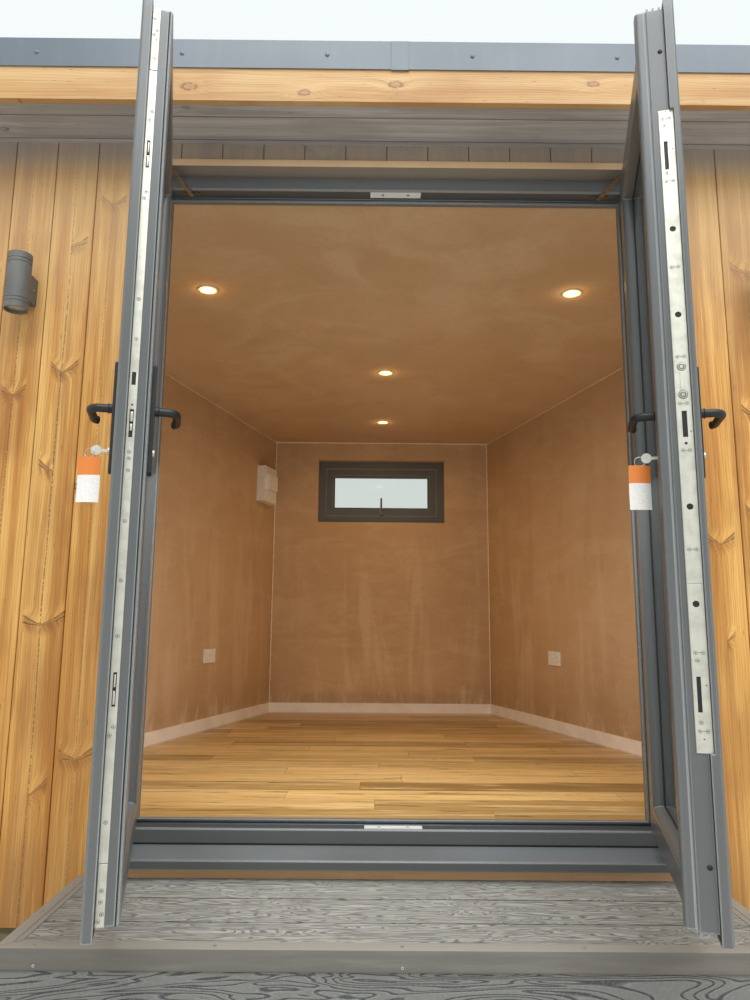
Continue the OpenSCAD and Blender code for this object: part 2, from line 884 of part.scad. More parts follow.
// Lock plates in the rebate of the head and the sill, with a socket for each leaf's shoot bolt
keep_t = 2;
keep_w = 30;
keep_y = frame_y + 7;
bolt_d = 11;

module lock_plate(z) {
    difference() {
        box(-keep_len / 2, keep_len / 2, keep_y, keep_y + keep_w, z, z + keep_t);
        for (x = [-keep_len / 4, keep_len / 4])
            translate([x, keep_y + keep_w / 2, z - 1]) cylinder(d = bolt_d, h = keep_t + 2);
    }
}

module door_frame_fittings() {
    color(silver) {
        hinge_frame_half();
        mirror([1, 0, 0]) hinge_frame_half();
        restrictor_plate();
        mirror([1, 0, 0]) restrictor_plate();
        lock_plate(rebate_z0);
        lock_plate(rebate_z1 - keep_t);
    }
}

// Slot through a strip, on the closed right leaf, centred at y and z
module strip_slot(y, z, w, h) {
    box(0, 2 * body_free, y - w / 2, y + w / 2, z - h / 2, z + h / 2);
}

hook_h = 66;
hook_w = 7;
latch_h = 50;
latch_w = 8;
latch_z = spindle_z - 33;

module lock_strip() {
    y0 = frame_y + 0.5;
    y = y0 + strip_w / 2;
    difference() {
        box(body_free - strip_t, body_free, y0, y0 + strip_w, body_z0, body_z1);
        for (side = [-1, 1])
            strip_slot(y, spindle_z + side * hook_reach, hook_w, hook_h);
        strip_slot(y, latch_z, latch_w, latch_h);
        strip_slot(y, cylinder_z + 52, latch_w, 14);
    }
}

module left_leaf_fittings() {
    color(silver)
        swing_left() {
            lock_strip();
            hinge_leaf_half();
            restrictor_track();
        }
}

// Stile on the right leaf's free edge that the left leaf closes beside, with a rounded nosing indoors
stile_free = 12;
nosing_free = 6;
nosing_r = 8;
nosing_reach = 14;
nosing_root = 3;
nosing_clear = 5;
nosing_z0 = rebate_z0 + upstand_h + nosing_clear;
nosing_z1 = rebate_z1 - upstand_h - nosing_clear;
nosing_y = leaf_back_y + nosing_t;
cap_h = 6;
cap_tooth = 4;
cap_pitch = 13;

module right_meeting_stile() {
    web = [
        [stile_free, frame_y], [body_free, frame_y], [body_free, leaf_back_y], [stile_free, leaf_back_y],
        [stile_free, body_seal_y + seal_groove], [stile_free + seal_groove, body_seal_y + seal_groove],
        [stile_free + seal_groove, body_seal_y], [stile_free, body_seal_y]
    ];
    nosing = concat(
        arc(nosing_free + nosing_r, nosing_y - nosing_r, nosing_r, nosing_r, 180, 90, 6),
        arc(body_free + nosing_reach - nosing_r, nosing_y - nosing_r, nosing_r, nosing_r, 90, 0, 6),
        [
            [body_free + nosing_reach, leaf_back_y], [body_free, leaf_back_y],
            [body_free, leaf_back_y - nosing_root], [nosing_free, leaf_back_y - nosing_root]
        ]
    );
    color(anthracite)
        swing_right()
            union() {
                translate([0, 0, body_z0]) linear_extrude(body_z1 - body_z0) polygon(web);
                translate([0, 0, nosing_z0]) linear_extrude(nosing_z1 - nosing_z0) polygon(nosing);
                for (i = [0 : 2], z = [body_z0 - cap_h, body_z1])
                    translate([stile_free, frame_y + 6 + i * cap_pitch, z])
                        cube([body_free - stile_free, cap_tooth, cap_h]);
            }
}

keep_past = 110;
keep_strip_z0 = spindle_z - hook_reach - keep_past;
keep_strip_z1 = spindle_z + hook_reach + keep_past;
keep_strip_y0 = frame_y - keep_let;
cam_d = 13;

// Strip on the stile with a keep for each bolt, let into the leaf's flange
module keep_strip() {
    y = keep_strip_y0 + keep_strip_w / 2;
    difference() {
        box(stile_free - strip_t, stile_free, keep_strip_y0, keep_strip_y0 + keep_strip_w,
            keep_strip_z0, keep_strip_z1);
        for (side = [-1, 1]) {
            strip_slot(y + 4, spindle_z + side * hook_reach, hook_w + 1, hook_h + 2);
            for (reach = [inner_cam, outer_cam])
                translate([0, y, spindle_z + side * reach])
                    rotate([0, 90, 0])
                        cylinder(d = cam_d, h = 2 * body_free);
        }
        strip_slot(y, latch_z, latch_w + 2, latch_h + 6);
    }
}

module right_leaf_fittings() {
    color(silver)
        swing_right() {
            keep_strip();
            hinge_leaf_half();
            restrictor_track();
        }
}

module left_leaf_frame() { swing_left() leaf_frame(); }
module left_leaf_glass() { swing_left() leaf_glass(); }
module left_leaf_beads() { swing_left() leaf_beads(); }
module left_handle_plates() { swing_left() handle_plates(); }
module left_lever() { swing_left() lever_pair(); }
module left_key() { swing_left() key_and_barrel(true); }
module left_restrictor_arm() { mirror([1, 0, 0]) restrictor_arm(left_open); }

// The flange's free edge is let in for the keep strip
module right_leaf_frame() {
    color(anthracite)
        swing_right()
            difference() {
                leaf_frame();
                box(flange_free - 1, stile_free + 0.5, keep_strip_y0 - 1, frame_y + 1,
                    keep_strip_z0, keep_strip_z1);
            }
}

module right_leaf_glass() { swing_right() leaf_glass(); }
module right_leaf_beads() { swing_right() leaf_beads(); }
module right_handle_plates() { swing_right() handle_plates(); }
module right_lever() { swing_right() lever_pair(); }
module right_key() { swing_right() key_and_barrel(false); }
module right_restrictor_arm() { restrictor_arm(right_open); }

// Window, facing the back
window_half = window_w / 2;
window_back_y = window_y + frame_d;
window_face = 60;
sash_face = 65;
sash_gap = 0.3;
sash_in = window_face + sash_gap;
sash_y0 = window_y + 4;
sash_y1 = window_back_y - 4;
sash_cover = 15;
window_glass_y = window_y + 22;
window_section = [
    [0, window_y], [window_face - frame_ease, window_y], [window_face, window_y + frame_ease],
    [window_face, window_back_y - frame_ease], [window_face - frame_ease, window_back_y], [0, window_back_y]
];
sash_section = [
    [0, sash_y0], [sash_face - sash_cover, sash_y0],
    [sash_face, window_glass_y - 6], [sash_face, window_glass_y],
    [sash_face - sash_cover, window_glass_y], [sash_face - sash_cover, window_glass_y + glass_t],
    [sash_face, window_glass_y + glass_t], [sash_face - slope_w, sash_y1], [0, sash_y1]
];

module window_frame() {
    color(anthracite)
        welded_frame(window_section, -window_half, window_half, window_z0, window_z1);
}

// Cranked handle on a rose in the middle of the sash's lower rail
handle_rose_w = 28;
handle_rose_t = 12;
handle_neck_w = 18;
handle_neck_t = 22;
handle_grip_t = 10;
handle_reach = 110;

module window_handle() {
    z = window_z0 + sash_in + sash_face / 2 - sash_cover / 2;
    rose_y = sash_y0 - handle_rose_t;
    neck_y = rose_y - handle_neck_t;
    box(-handle_rose_w / 2, handle_rose_w / 2, rose_y, sash_y0 + 2, z - 14, z + 14);
    box(-handle_neck_w / 2, handle_neck_w / 2, neck_y, rose_y, z - 10, z + 10);
    upright(neck_y - handle_grip_t, neck_y, [
        [9, z - 12], [-9, z - 12], [-7, z + handle_reach - 6], [-4, z + handle_reach],
        [4, z + handle_reach], [7, z + handle_reach - 6]
    ]);
}

module window_sash() {
    color(anthracite)
        union() {
            welded_frame(sash_section, -window_half + sash_in, window_half - sash_in,
                         window_z0 + sash_in, window_z1 - sash_in);
            window_handle();
        }
}

module window_glass() {
    e = sash_in + sash_face - sash_cover + glass_edge;
    color("#a9c4cc", 0.35)
        box(-window_half + e, window_half - e, window_glass_y, window_glass_y + glass_t,
            window_z0 + e, window_z1 - e);
}

// Room fittings
module skirting() {
    z1 = floor_top + skirting_h;
    color("#e3d5cb")
        difference() {
            plan_slab(room_front_y, room_back_y, wall_t + joint, floor_top, z1);
            plan_slab(room_front_y + skirting_t, room_back_y - skirting_t, wall_t + skirting_t,
                      floor_top - 1, z1 + 1);
            box(-door_half, door_half, front_y, room_front_y + skirting_t + 1, floor_top - 1, z1 + 1);
        }
}

// Puts a fitting's flat back on the plaster of a side wall, its centre a given distance from the back wall.
// The fitting is drawn against the plane X = 0, standing out toward -X, with its front corner's side at -Y.
module on_side_wall(side, back, up) {
    y = room_back_y - back;
    mirror([side < 0 ? 1 : 0, 0, 0])
        translate([half_w(y, wall_t + joint), y, floor_top + up])
            rotate([0, 0, splay])
                children();
}

socket_w = 146;
socket_h = 86;
socket_t = 9;
rocker = [2, 12, 18];
pin_slot = [3, 7, 3];

// Twin socket plate with two switches and three pin slots under each
module twin_socket() {
    difference() {
        translate([-socket_t, -socket_w / 2, -socket_h / 2]) cube([socket_t, socket_w, socket_h]);
        for (y = [-36, 36], pin = [[0, 0], [-11, -22], [11, -22]])
            translate([-socket_t - 1, y + pin[0] - pin_slot[1] / 2, pin[1] - 2]) cube([4, pin_slot[1], 4]);
    }
    for (y = [-20, 20])
        translate([-socket_t - rocker[0], y - rocker[1] / 2, 15]) cube(rocker);
}

unit_w = 230;
unit_h = 260;
unit_t = 60;
flap = [25, 150, 110];
flap_z = -40;
window_slot = [4, 150, 26];

// Consumer unit with a raised flap over its switches and a slot for the main switch
module consumer_unit() {
    difference() {
        translate([-unit_t, -unit_w / 2, -unit_h / 2]) cube([unit_t, unit_w, unit_h]);
        translate([-unit_t - 1, -window_slot[1] / 2, -unit_h / 2 + 24]) cube(window_slot);
    }
    translate([-unit_t - flap[0], -flap[1] / 2, flap_z]) cube(flap);
}

module electrical_fittings() {
    color("#ececea") {
        on_side_wall(-1, socket_back, socket_up) twin_socket();
        on_side_wall(1, socket_back, socket_up) twin_socket();
        on_side_wall(-1, unit_back, unit_up) consumer_unit();
    }
}

module downlight_places() {
    y = room_front_y + downlight_front;
    for (p = [[-downlight_x, y], [downlight_x, y], [0, y + downlight_pitch], [0, y + 2 * downlight_pitch]])
        translate([p[0], p[1], ceiling_z])
            children();
}

// Downlight turned about its own axis: a sloped rim, a recessed lens and the can above the ceiling
module downlights() {
    rim_r = downlight_d / 2;
    can_r = downlight_hole / 2 - 0.5;
    lens_r = can_r - 6;
    color("#f4efe2")
        downlight_places()
            rotate_extrude()
                polygon([
                    [0, 4], [lens_r, 4], [lens_r + 2, -4], [rim_r - 3, -4], [rim_r, 0],
                    [can_r, 0], [can_r, 50], [0, 50]
                ]);
}

// Wall light: an up and down tube with turned grooves and recessed ends, on a bracket with cut corners
tube_groove = 1.5;
tube_recess = 12;
tube_wall = 4;
bracket_w = 44;
bracket_h = 84;
bracket_cut = 10;

module wall_light() {
    r = wall_light_d / 2;
    h = wall_light_h / 2;
    half = concat(
        [[0, h - tube_recess], [r - tube_wall, h - tube_recess], [r - tube_wall, h], [r, h]],
        [for (z = [h - 20, h - 31], p = [[0, 1], [-tube_groove, 0], [0, -1]]) [r + p[0], z + p[1]]]
    );
    low = [for (i = [len(half) - 1 : -1 : 0]) [half[i][0], -half[i][1]]];
    translate([0, -wall_light_stand - r, 0]) rotate_extrude() polygon(concat(half, low));
    reach = wall_light_stand + 6;
    z1 = bracket_h / 2;
    translate([-bracket_w / 2, 0, 0])
        rotate([90, 0, 90])
            linear_extrude(bracket_w)
                polygon([
                    [0, z1], [0, -z1], [bracket_cut - reach, -z1], [-reach, bracket_cut - z1],
                    [-reach, z1 - bracket_cut], [bracket_cut - reach, z1]
                ]);
}

module wall_lights() {
    color("#2c2f33")
        for (side = [-1, 1])
            translate([side * wall_light_x, front_y, door_top - wall_light_drop])
                union() wall_light();
}

// Step
step_back_y = front_y;
step_depth = board_count * board_w + (board_count - 1) * board_gap;
step_front_y = step_back_y - step_depth;
riser_t = 20;
riser_gap = 1;
riser_x = step_w / 2 - edging_t - riser_gap;
riser_y = step_front_y + riser_gap;
riser_top = step_h - board_t;
joist_w = 45;
joist_count = 4;

module step_boards() {
    color("#8f8f8d")
        for (i = [0 : board_count - 1])
            translate([0, step_front_y + i * (board_w + board_gap), 0])
                box(-step_w / 2 + edging_t, step_w / 2 - edging_t, 0, board_w, riser_top, step_h);
}

// Angle trim over the front and side arrises
module step_edging() {
    top = step_h + edging_t;
    x = step_w / 2;
    y = step_front_y - edging_t;
    color("#8d867c")
        difference() {
            box(-x, x, y, step_back_y, top - edging_w, top);
            box(-x + edging_w, x - edging_w, y + edging_w, step_back_y + 1, 0, top + 1);
            box(-x + edging_t, x - edging_t, step_front_y, step_back_y + 1, 0, step_h);
        }
}

module step_risers() {
    color("#77787a")
        difference() {
            box(-riser_x, riser_x, riser_y, step_back_y, 0, riser_top);
            box(-riser_x + riser_t, riser_x - riser_t, riser_y + riser_t, step_back_y + 1, -1, riser_top + 1);
        }
}

module step_frame() {
    x = riser_x - riser_t;
    pitch = (2 * x - joist_w) / (joist_count - 1);
    color("#6f6250")
        for (i = [0 : joist_count - 1])
            translate([-x + i * pitch, 0, 0])
                box(0, joist_w, riser_y + riser_t, step_back_y, 0, riser_top);
}

base_bearers();
floor_frame();
laminate_floor();
front_wall_left();
front_wall_right();
front_wall_over_door();
left_wall();
right_wall();
back_wall();
front_cladding();
left_cladding();
right_cladding();
back_cladding();
ceiling();
roof_panel();
roof_covering();
roof_trim();
fascia();
soffit();
door_reveal();
door_frame_left();
door_frame_right();
door_frame_head();
door_frame_sill();
door_cill();
door_frame_fittings();
left_leaf_frame();
left_leaf_glass();
left_leaf_beads();
left_leaf_fittings();
left_handle_plates();
left_lever();
left_key();
left_restrictor_arm();
right_leaf_frame();
right_leaf_glass();
right_leaf_beads();
right_leaf_fittings();
right_meeting_stile();
right_handle_plates();
right_lever();
right_key();
right_restrictor_arm();
window_frame();
window_sash();
window_glass();
skirting();
electrical_fittings();
downlights();
wall_lights();
step_boards();
step_edging();
step_risers();
step_frame();
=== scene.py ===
"""Garden office pod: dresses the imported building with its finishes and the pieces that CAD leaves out."""
import math

import bmesh
import bpy
from mathutils import Matrix, Vector


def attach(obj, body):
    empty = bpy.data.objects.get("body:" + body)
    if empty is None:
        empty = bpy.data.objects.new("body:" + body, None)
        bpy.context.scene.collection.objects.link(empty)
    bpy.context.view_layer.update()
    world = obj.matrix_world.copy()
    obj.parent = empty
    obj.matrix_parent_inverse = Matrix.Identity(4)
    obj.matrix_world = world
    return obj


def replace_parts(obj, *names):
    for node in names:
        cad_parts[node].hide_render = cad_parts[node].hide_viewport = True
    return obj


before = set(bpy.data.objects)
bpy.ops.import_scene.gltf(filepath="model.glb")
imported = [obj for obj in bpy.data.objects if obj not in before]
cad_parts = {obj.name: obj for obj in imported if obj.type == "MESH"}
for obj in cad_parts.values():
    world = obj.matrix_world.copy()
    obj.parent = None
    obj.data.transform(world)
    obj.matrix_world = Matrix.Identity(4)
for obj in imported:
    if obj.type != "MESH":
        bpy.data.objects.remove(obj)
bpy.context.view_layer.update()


# Photograph's view. A hand-held camera stands in front of the doors, a little left of their middle and
# below the door handles, and is tilted up by some nine degrees.
def turn(degrees, axis="Z"):
    return Matrix.Rotation(math.radians(degrees), 4, axis)


def add_object(name, data):
    made = bpy.data.objects.new(name, data)
    bpy.context.scene.collection.objects.link(made)
    return made


bpy.context.scene.view_settings.view_transform = "Standard"
FOCAL_PX, FRAME_H, SENSOR = 751.0, 1000.0, 32.0
EYE, LEVEL = (-0.067, -4.072, 0.875), 90
AIM_LEFT, TILT_UP, ROLL = -0.18, 9.48, 0.46
view_camera = add_object("photo_camera", bpy.data.cameras.new("photo_camera"))
view_camera.data.sensor_fit = "VERTICAL"
view_camera.data.sensor_height = SENSOR
view_camera.data.lens = SENSOR * FOCAL_PX / FRAME_H
view_camera.matrix_world = Matrix.Translation(EYE) @ turn(AIM_LEFT) @ turn(LEVEL + TILT_UP, "X") @ turn(ROLL)
bpy.context.scene.camera = view_camera


# Bearers, floor frame and step frame. Sawn softwood, pressure treated to a dull green-brown, carries the
# building. The grain runs along each length, and saw marks cross it.
def maths(operation, swapped=False):
    """A method that adds a Math node on a wire and its other values."""
    def apply(wire, *others):
        values = (*others, wire) if swapped else (wire, *others)
        return wire.tree.node("ShaderNodeMath", {"operation": operation}, dict(enumerate(values)))
    return apply


class Wire:
    """A socket in a node tree, so that the maths on it reads as plain arithmetic."""

    def __init__(self, tree, socket):
        self.tree, self.socket = tree, socket

    __add__ = __radd__ = maths("ADD")
    __sub__, __rsub__ = maths("SUBTRACT"), maths("SUBTRACT", swapped=True)
    __mul__ = __rmul__ = maths("MULTIPLY")
    __truediv__, __pow__, __mod__ = maths("DIVIDE"), maths("POWER"), maths("FLOORED_MODULO")
    __lt__, __gt__, __abs__ = maths("LESS_THAN"), maths("GREATER_THAN"), maths("ABSOLUTE")
    floor, sine, least, most = maths("FLOOR"), maths("SINE"), maths("MINIMUM"), maths("MAXIMUM")

    def fade(self, start=0.3, end=0.7, low=0.0, high=1.0):
        """Goes smoothly from low to high while the value crosses start to end, by default a noise's range."""
        settings = {"interpolation_type": "SMOOTHSTEP"}
        return self.tree.node("ShaderNodeMapRange", settings, {0: self, 1: start, 2: end, 3: low, 4: high})

    def between(self, low, high):
        return self.fade(low=low, high=high)


class Tree:
    """A node tree with one method that adds any node."""

    def __init__(self, node_tree):
        self.nodes, self.links = node_tree.nodes, node_tree.links

    def node(self, kind, settings=None, sockets=None, out=0):
        made = self.nodes.new(kind)
        for key, value in (settings or {}).items():
            setattr(made, key, value)
        for key, value in (sockets or {}).items():
            if isinstance(value, Wire):
                self.links.new(value.socket, made.inputs[key])
            else:
                made.inputs[key].default_value = value
        if out is None:
            return made
        return Wire(self, made.outputs[out])

    def together(self, x, y, z):
        return self.node("ShaderNodeCombineXYZ", None, {0: x, 1: y, 2: z})


def tone(code):
    """Linear colour of a six-figure screen colour."""
    shares = [int(code[i : i + 2], 16) / 255 for i in (0, 2, 4)]
    return tuple(c / 12.92 if c <= 0.04045 else ((c + 0.055) / 1.055) ** 2.4 for c in shares) + (1.0,)


class Finish(Tree):
    """A procedural material: its pattern is worked out from the piece's own coordinates, x, y and up."""

    def __init__(self, name):
        self.material = bpy.data.materials.new(name)
        self.material.use_nodes = True
        super().__init__(self.material.node_tree)
        self.nodes.clear()
        self.place = self.node("ShaderNodeTexCoord", out="Object")
        self.x, self.y, self.up = self.apart(self.place)

    def apart(self, vector):
        split = self.node("ShaderNodeSeparateXYZ", None, {0: vector}, None)
        return [Wire(self, s) for s in split.outputs]

    def stretch(self, scale, spin=(0, 0, 0), at=None):
        at = self.place if at is None else at
        return self.node("ShaderNodeMapping", None, {"Vector": at, "Rotation": spin, "Scale": scale})

    def cloud(self, scale, detail=3.0, rough=0.5, twist=0.0, at=None):
        """Noise over the piece, or at a place; a scale of three values stretches it."""
        if isinstance(scale, tuple):
            scale, at = 1.0, self.stretch(scale, at=at)
        at = self.place if at is None else at
        sockets = {"Vector": at, "Scale": scale, "Detail": detail, "Roughness": rough, "Distortion": twist}
        return self.node("ShaderNodeTexNoise", None, sockets)

    def cloud_at(self, x, y, z, detail=3.0, rough=0.5, twist=0.0):
        return self.cloud(1.0, detail, rough, twist, self.together(x, y, z))

    def chance(self, x, y, z):
        """Three independent random numbers from 0 to 1 for each place."""
        noise = self.node("ShaderNodeTexWhiteNoise", None, {"Vector": self.together(x, y, z)}, "Color")
        return self.apart(noise)

    def blend(self, share, first, second):
        """Mixes two colours, each a link or a screen colour's code."""
        first, second = (tone(c) if isinstance(c, str) else c for c in (first, second))
        return self.node("ShaderNodeMix", {"data_type": "RGBA"}, {0: share, 6: first, 7: second}, 2)

    def coats(self, colour, *layers):
        """Lays (share, colour) layers over a colour, one after another."""
        for share, layer in layers:
            colour = self.blend(share, colour, layer)
        return colour

    def facing(self):
        return self.node("ShaderNodeNewGeometry", None, None, "Normal")

    def bump(self, height, depth, strength=1.0, edge=0.0):
        """Relief of that depth in metres. edge rounds the arrises: a radius, or a normal rounded before."""
        sockets = {"Height": height, "Distance": depth, "Strength": strength}
        if edge:
            sockets["Normal"] = edge if isinstance(edge, Wire) else self.soft_edge(edge)
        return self.node("ShaderNodeBump", None, sockets)

    def soft_edge(self, radius):
        return self.node("ShaderNodeBevel", {"samples": 4}, {"Radius": radius})

    def surface(self, colour, rough, normal=None, extra=None):
        sockets = {"Base Color": colour, "Roughness": rough, **(extra or {})}
        if normal is not None:
            sockets["Normal"] = normal
        shader = self.node("ShaderNodeBsdfPrincipled", None, sockets)
        self.node("ShaderNodeOutputMaterial", None, {"Surface": shader}, None)
        return self.material


def dress(material, *names):
    """Gives CAD nodes their finish."""
    for name in names:
        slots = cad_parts[name].data.materials
        slots.clear()
        slots.append(material)


treated = Finish("treated_timber")
sawn, saw_marks = treated.cloud((3, 60, 60), 4.0), treated.cloud((180, 4, 4), 1.0)
weathering = treated.cloud(5.0)
treated_colour = treated.coats(
    "6f6449", (sawn.fade(0.35, 0.65), "8f8160"), (weathering.fade(0.45, 0.7, 0, 0.6), "5e5c44"))
treated.surface(treated_colour, weathering.between(0.75, 0.9), treated.bump(sawn + saw_marks * 0.5, 0.0015))
dress(treated.material, "base_bearers", "floor_frame", "step_frame")


# Walls and ceiling, skimmed with gypsum plaster that dries pink-brown and is left bare. Trowel sweeps burnish
# it in places, it is darker where it is still damp, and pale where the last of the water dried low down.
DRIED_LOW, RUNS_LOW = (0.60, 0.28), (1.9, 0.9)
skim = Finish("bare_plaster")
drift = skim.cloud(0.9, 2.0)
sweeps = skim.cloud(2.2, 5.0, 0.6, 1.6, skim.stretch((1.0, 1.0, 2.6), (0.3, 0.5, 0.2)))
cross_sweeps = skim.cloud(1.6, 4.0, 0.6, 0.9, skim.stretch((3.2, 3.2, 0.9), (0.2, -0.4, 0.3)))
fine = skim.cloud(60.0, 4.0, 0.6)
tide = skim.cloud((9.0, 9.0, 2.2), 8.0, 0.72, 0.3)
dried_low = (tide + skim.up.fade(*DRIED_LOW, -0.16, 0.0)).fade(0.48, 0.62)
run_down = skim.cloud((6.0, 6.0, 0.9), 5.0, 0.6, 0.6).fade(0.5, 0.66) * skim.up.fade(*RUNS_LOW)
skim_colour = skim.coats(
    "c4a27d", (drift.fade(), "b8966f"),
    (sweeps.fade(0.42, 0.66, 0, 0.38), "ceb391"),
    (cross_sweeps.fade(0.50, 0.72, 0, 0.24), "a98560"),
    (run_down * 0.32, "dcc1a2"),
    (dried_low * 0.45, "ecd6bc"),
    (fine.fade(0.35, 0.7, 0, 0.12), "96755a"))
skim_relief = skim.bump(sweeps * 0.6 + cross_sweeps * 0.4 + fine * 0.03, 0.004, 0.5)
skim.surface(skim_colour, sweeps.fade(0.35, 0.7, 0.55, 0.82), skim_relief)
dress(skim.material, "front_wall_left", "front_wall_right", "front_wall_over_door", "left_wall", "right_wall",
      "back_wall", "ceiling")


# Filler in the room's corners and round the ceiling's edge. A thin pale bead of acrylic, pressed into the
# angle with a finger, covers the joint between the skimmed boards.
def mottled(name, scale, tones, rough, depth, strength=1.0, edge=0.0, shade=(0.3, 0.7), detail=3.0, relief=None,
            extra=None):
    """Finish whose one noise gives its colour between two tones, its roughness and its relief.

    shade is the part of the noise that the colour follows, or None for all of it. relief is the
    (scale, detail) of a second noise, where roughness and relief have one of their own."""
    finish = Finish(name)
    noise = finish.cloud(scale, detail)
    second = finish.cloud(*relief) if relief else noise
    finish.surface(finish.blend(noise.fade(*shade) if shade else noise, *tones), second.between(*rough),
                   finish.bump(second, depth, strength, edge), extra)
    return finish.material


def face_out(bm):
    bmesh.ops.remove_doubles(bm, verts=bm.verts, dist=1e-6)
    bmesh.ops.recalc_face_normals(bm, faces=bm.faces)


def to_mesh(name, bm):
    mesh = bpy.data.meshes.new(name)
    bm.to_mesh(mesh)
    bm.free()
    return mesh


def piece(name, bm, material, body, place=None, smooth=35.0):
    """Turns what bm holds into a finished piece that rides on a body."""
    face_out(bm)
    mesh = to_mesh(name, bm)
    if place is not None:
        mesh.transform(place)
        if place.determinant() < 0:
            mesh.flip_normals()
    made = add_object(name, mesh)
    mesh.shade_smooth()
    mesh.set_sharp_from_angle(angle=math.radians(smooth))
    mesh.materials.append(material)
    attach(made, body)
    return made


def weave(bm, rows, loop=False, ring=True):
    """Faces between rows of points. loop joins the last row to the first, and ring joins each row's ends."""
    for near, far in zip(rows, rows[1:] + rows[:1] if loop else rows[1:]):
        for i in range(len(near) if ring else len(near) - 1):
            j = (i + 1) % len(near)
            bm.faces.new((near[i], near[j], far[j], far[i]))


def run(bm, section, start, end, upward=(0, 0, 1)):
    """Closed section, as (across, up) points, carried straight from start to end."""
    start, end, upward = Vector(start), Vector(end), Vector(upward)
    across = upward.cross((end - start).normalized()).normalized()
    ends = [[bm.verts.new(p + across * a + upward * u) for a, u in section] for p in (start, end)]
    bm.faces.new(ends[0][::-1])
    bm.faces.new(ends[1])
    weave(bm, ends)


FLOOR_TOP, CEILING = 0.230, 2.288
ROOM_FRONT, ROOM_BACK = -1.675, 1.675
FRONT, BACK, FRONT_HALF = -1.865, 1.865, 1.960
WALL_T, SKIRTING_H, OPENING_HALF = 0.1905, 0.075, 0.824
CLOSING_IN = 14.8
SPLAY = math.tan(math.radians(CLOSING_IN))


def half_width(y, inset=WALL_T):
    """Half of the building's width at a distance from the front, inset square to the side wall."""
    return FRONT_HALF - (y - FRONT) * SPLAY - inset / math.cos(math.atan(SPLAY))


filler = mottled("corner_filler", 45.0, ("eadbc6", "d9c3a8"), (0.5, 0.7), 0.0006)
bead = [(0.0, 0.0), (0.007, 0.0), (0.0045, 0.0018), (0.0018, 0.0045), (0.0, 0.007)]
fillet, pressed_in = [(0.0, 0.0), (0.006, 0.0), (0.0, -0.006)], 0.001
front_half, back_half = half_width(ROOM_FRONT), half_width(ROOM_BACK)
filled = bmesh.new()
for side in (-1, 1):
    for y, half, inward in ((ROOM_FRONT, front_half, 1), (ROOM_BACK, back_half, -1)):
        x = side * (half - pressed_in)
        run(filled, [(-side * a, inward * b) for a, b in bead], (x, y, FLOOR_TOP + SKIRTING_H), (x, y, CEILING),
            (0, 1, 0))
    run(filled, [(-side * a, u) for a, u in fillet],
        (side * front_half, ROOM_FRONT, CEILING), (side * back_half, ROOM_BACK, CEILING))
for start, end, y in ((back_half, -back_half, ROOM_BACK), (-front_half, -OPENING_HALF, ROOM_FRONT),
                      (OPENING_HALF, front_half, ROOM_FRONT)):
    run(filled, fillet, (start, y, CEILING), (end, y, CEILING))
piece("corner_filler_beads", filled, filler, "pod")


# Laminate floor. Boards of pressed fibre with a printed honey oak face run from side to side, in staggered
# rows with a fine bevel at each joint. The print has long dark streaks, small knots and paler boards.
PLANK_LENGTH, PLANK_WIDTH = 1.285, 0.158
laminate = Finish("oak_laminate")
row = (laminate.y / PLANK_WIDTH).floor()
along = laminate.x + laminate.chance(row, 3.0, 8.0)[0] * PLANK_LENGTH
plank = (along / PLANK_LENGTH).floor()
luck = laminate.chance(row, plank, 1.0)
grain = laminate.cloud_at(
    along * 1.3 + luck[0] * 40, laminate.y * 22 + luck[1] * 60, luck[2] * 9, 5.0, 0.62, 0.5)
thread = laminate.cloud_at(along * 9, laminate.y * 420, 0.0, 3.0)
heart = laminate.cloud_at(along * 2.4 + luck[1] * 30, laminate.y * 46, luck[0] * 20, 4.0, 0.7, 1.2)
side_joint = abs((laminate.y / PLANK_WIDTH) % 1.0 - 0.5).fade(0.487, 0.497)
end_joint = abs((along / PLANK_LENGTH) % 1.0 - 0.5).fade(0.4982, 0.4994)
joint = side_joint.most(end_joint)
oak = laminate.coats(
    "e6bf7a", (luck[2] ** 1.5, "967641"),
    (grain.fade(0.50, 0.34, 0, 0.6), "f6dca6"),
    (grain.fade(0.57, 0.68, 0, 0.8), "7a5a2b"),
    (thread.fade(0.45, 0.75, 0, 0.45), "9a7143"),
    (heart.fade(0.60, 0.66, 0, 0.95), "402b14"),
    (side_joint.most(end_joint * 0.55) * 0.5, "4a3420"))
laminate.surface(oak, thread.between(0.34, 0.46) + joint * 0.2, laminate.bump(thread * 0.15 - joint, 0.0007),
                 {"Coat Weight": 0.15, "Coat Roughness": 0.3})
dress(laminate.material, "laminate_floor")


# Skirting. Primed fibreboard, square cut, stands on the laminate along the walls. The primer is a warm white
# that takes up some of the plaster's dust, and its colour is darker along its foot.
DARKER_FOOT = (0.244, 0.232)
primed = Finish("primed_skirting")
brush, dust = primed.cloud((2, 2, 160)), primed.cloud(9.0, 4.0)
primed_colour = primed.coats(
    "fdf6ec", (dust.fade(0.4, 0.7, 0, 0.5), "efdfcc"), (primed.up.fade(*DARKER_FOOT, 0, 0.5), "b39a80"))
primed.surface(primed_colour, brush.between(0.45, 0.6), primed.bump(brush, 0.0004, 0.6, 0.002))
dress(primed.material, "skirting")


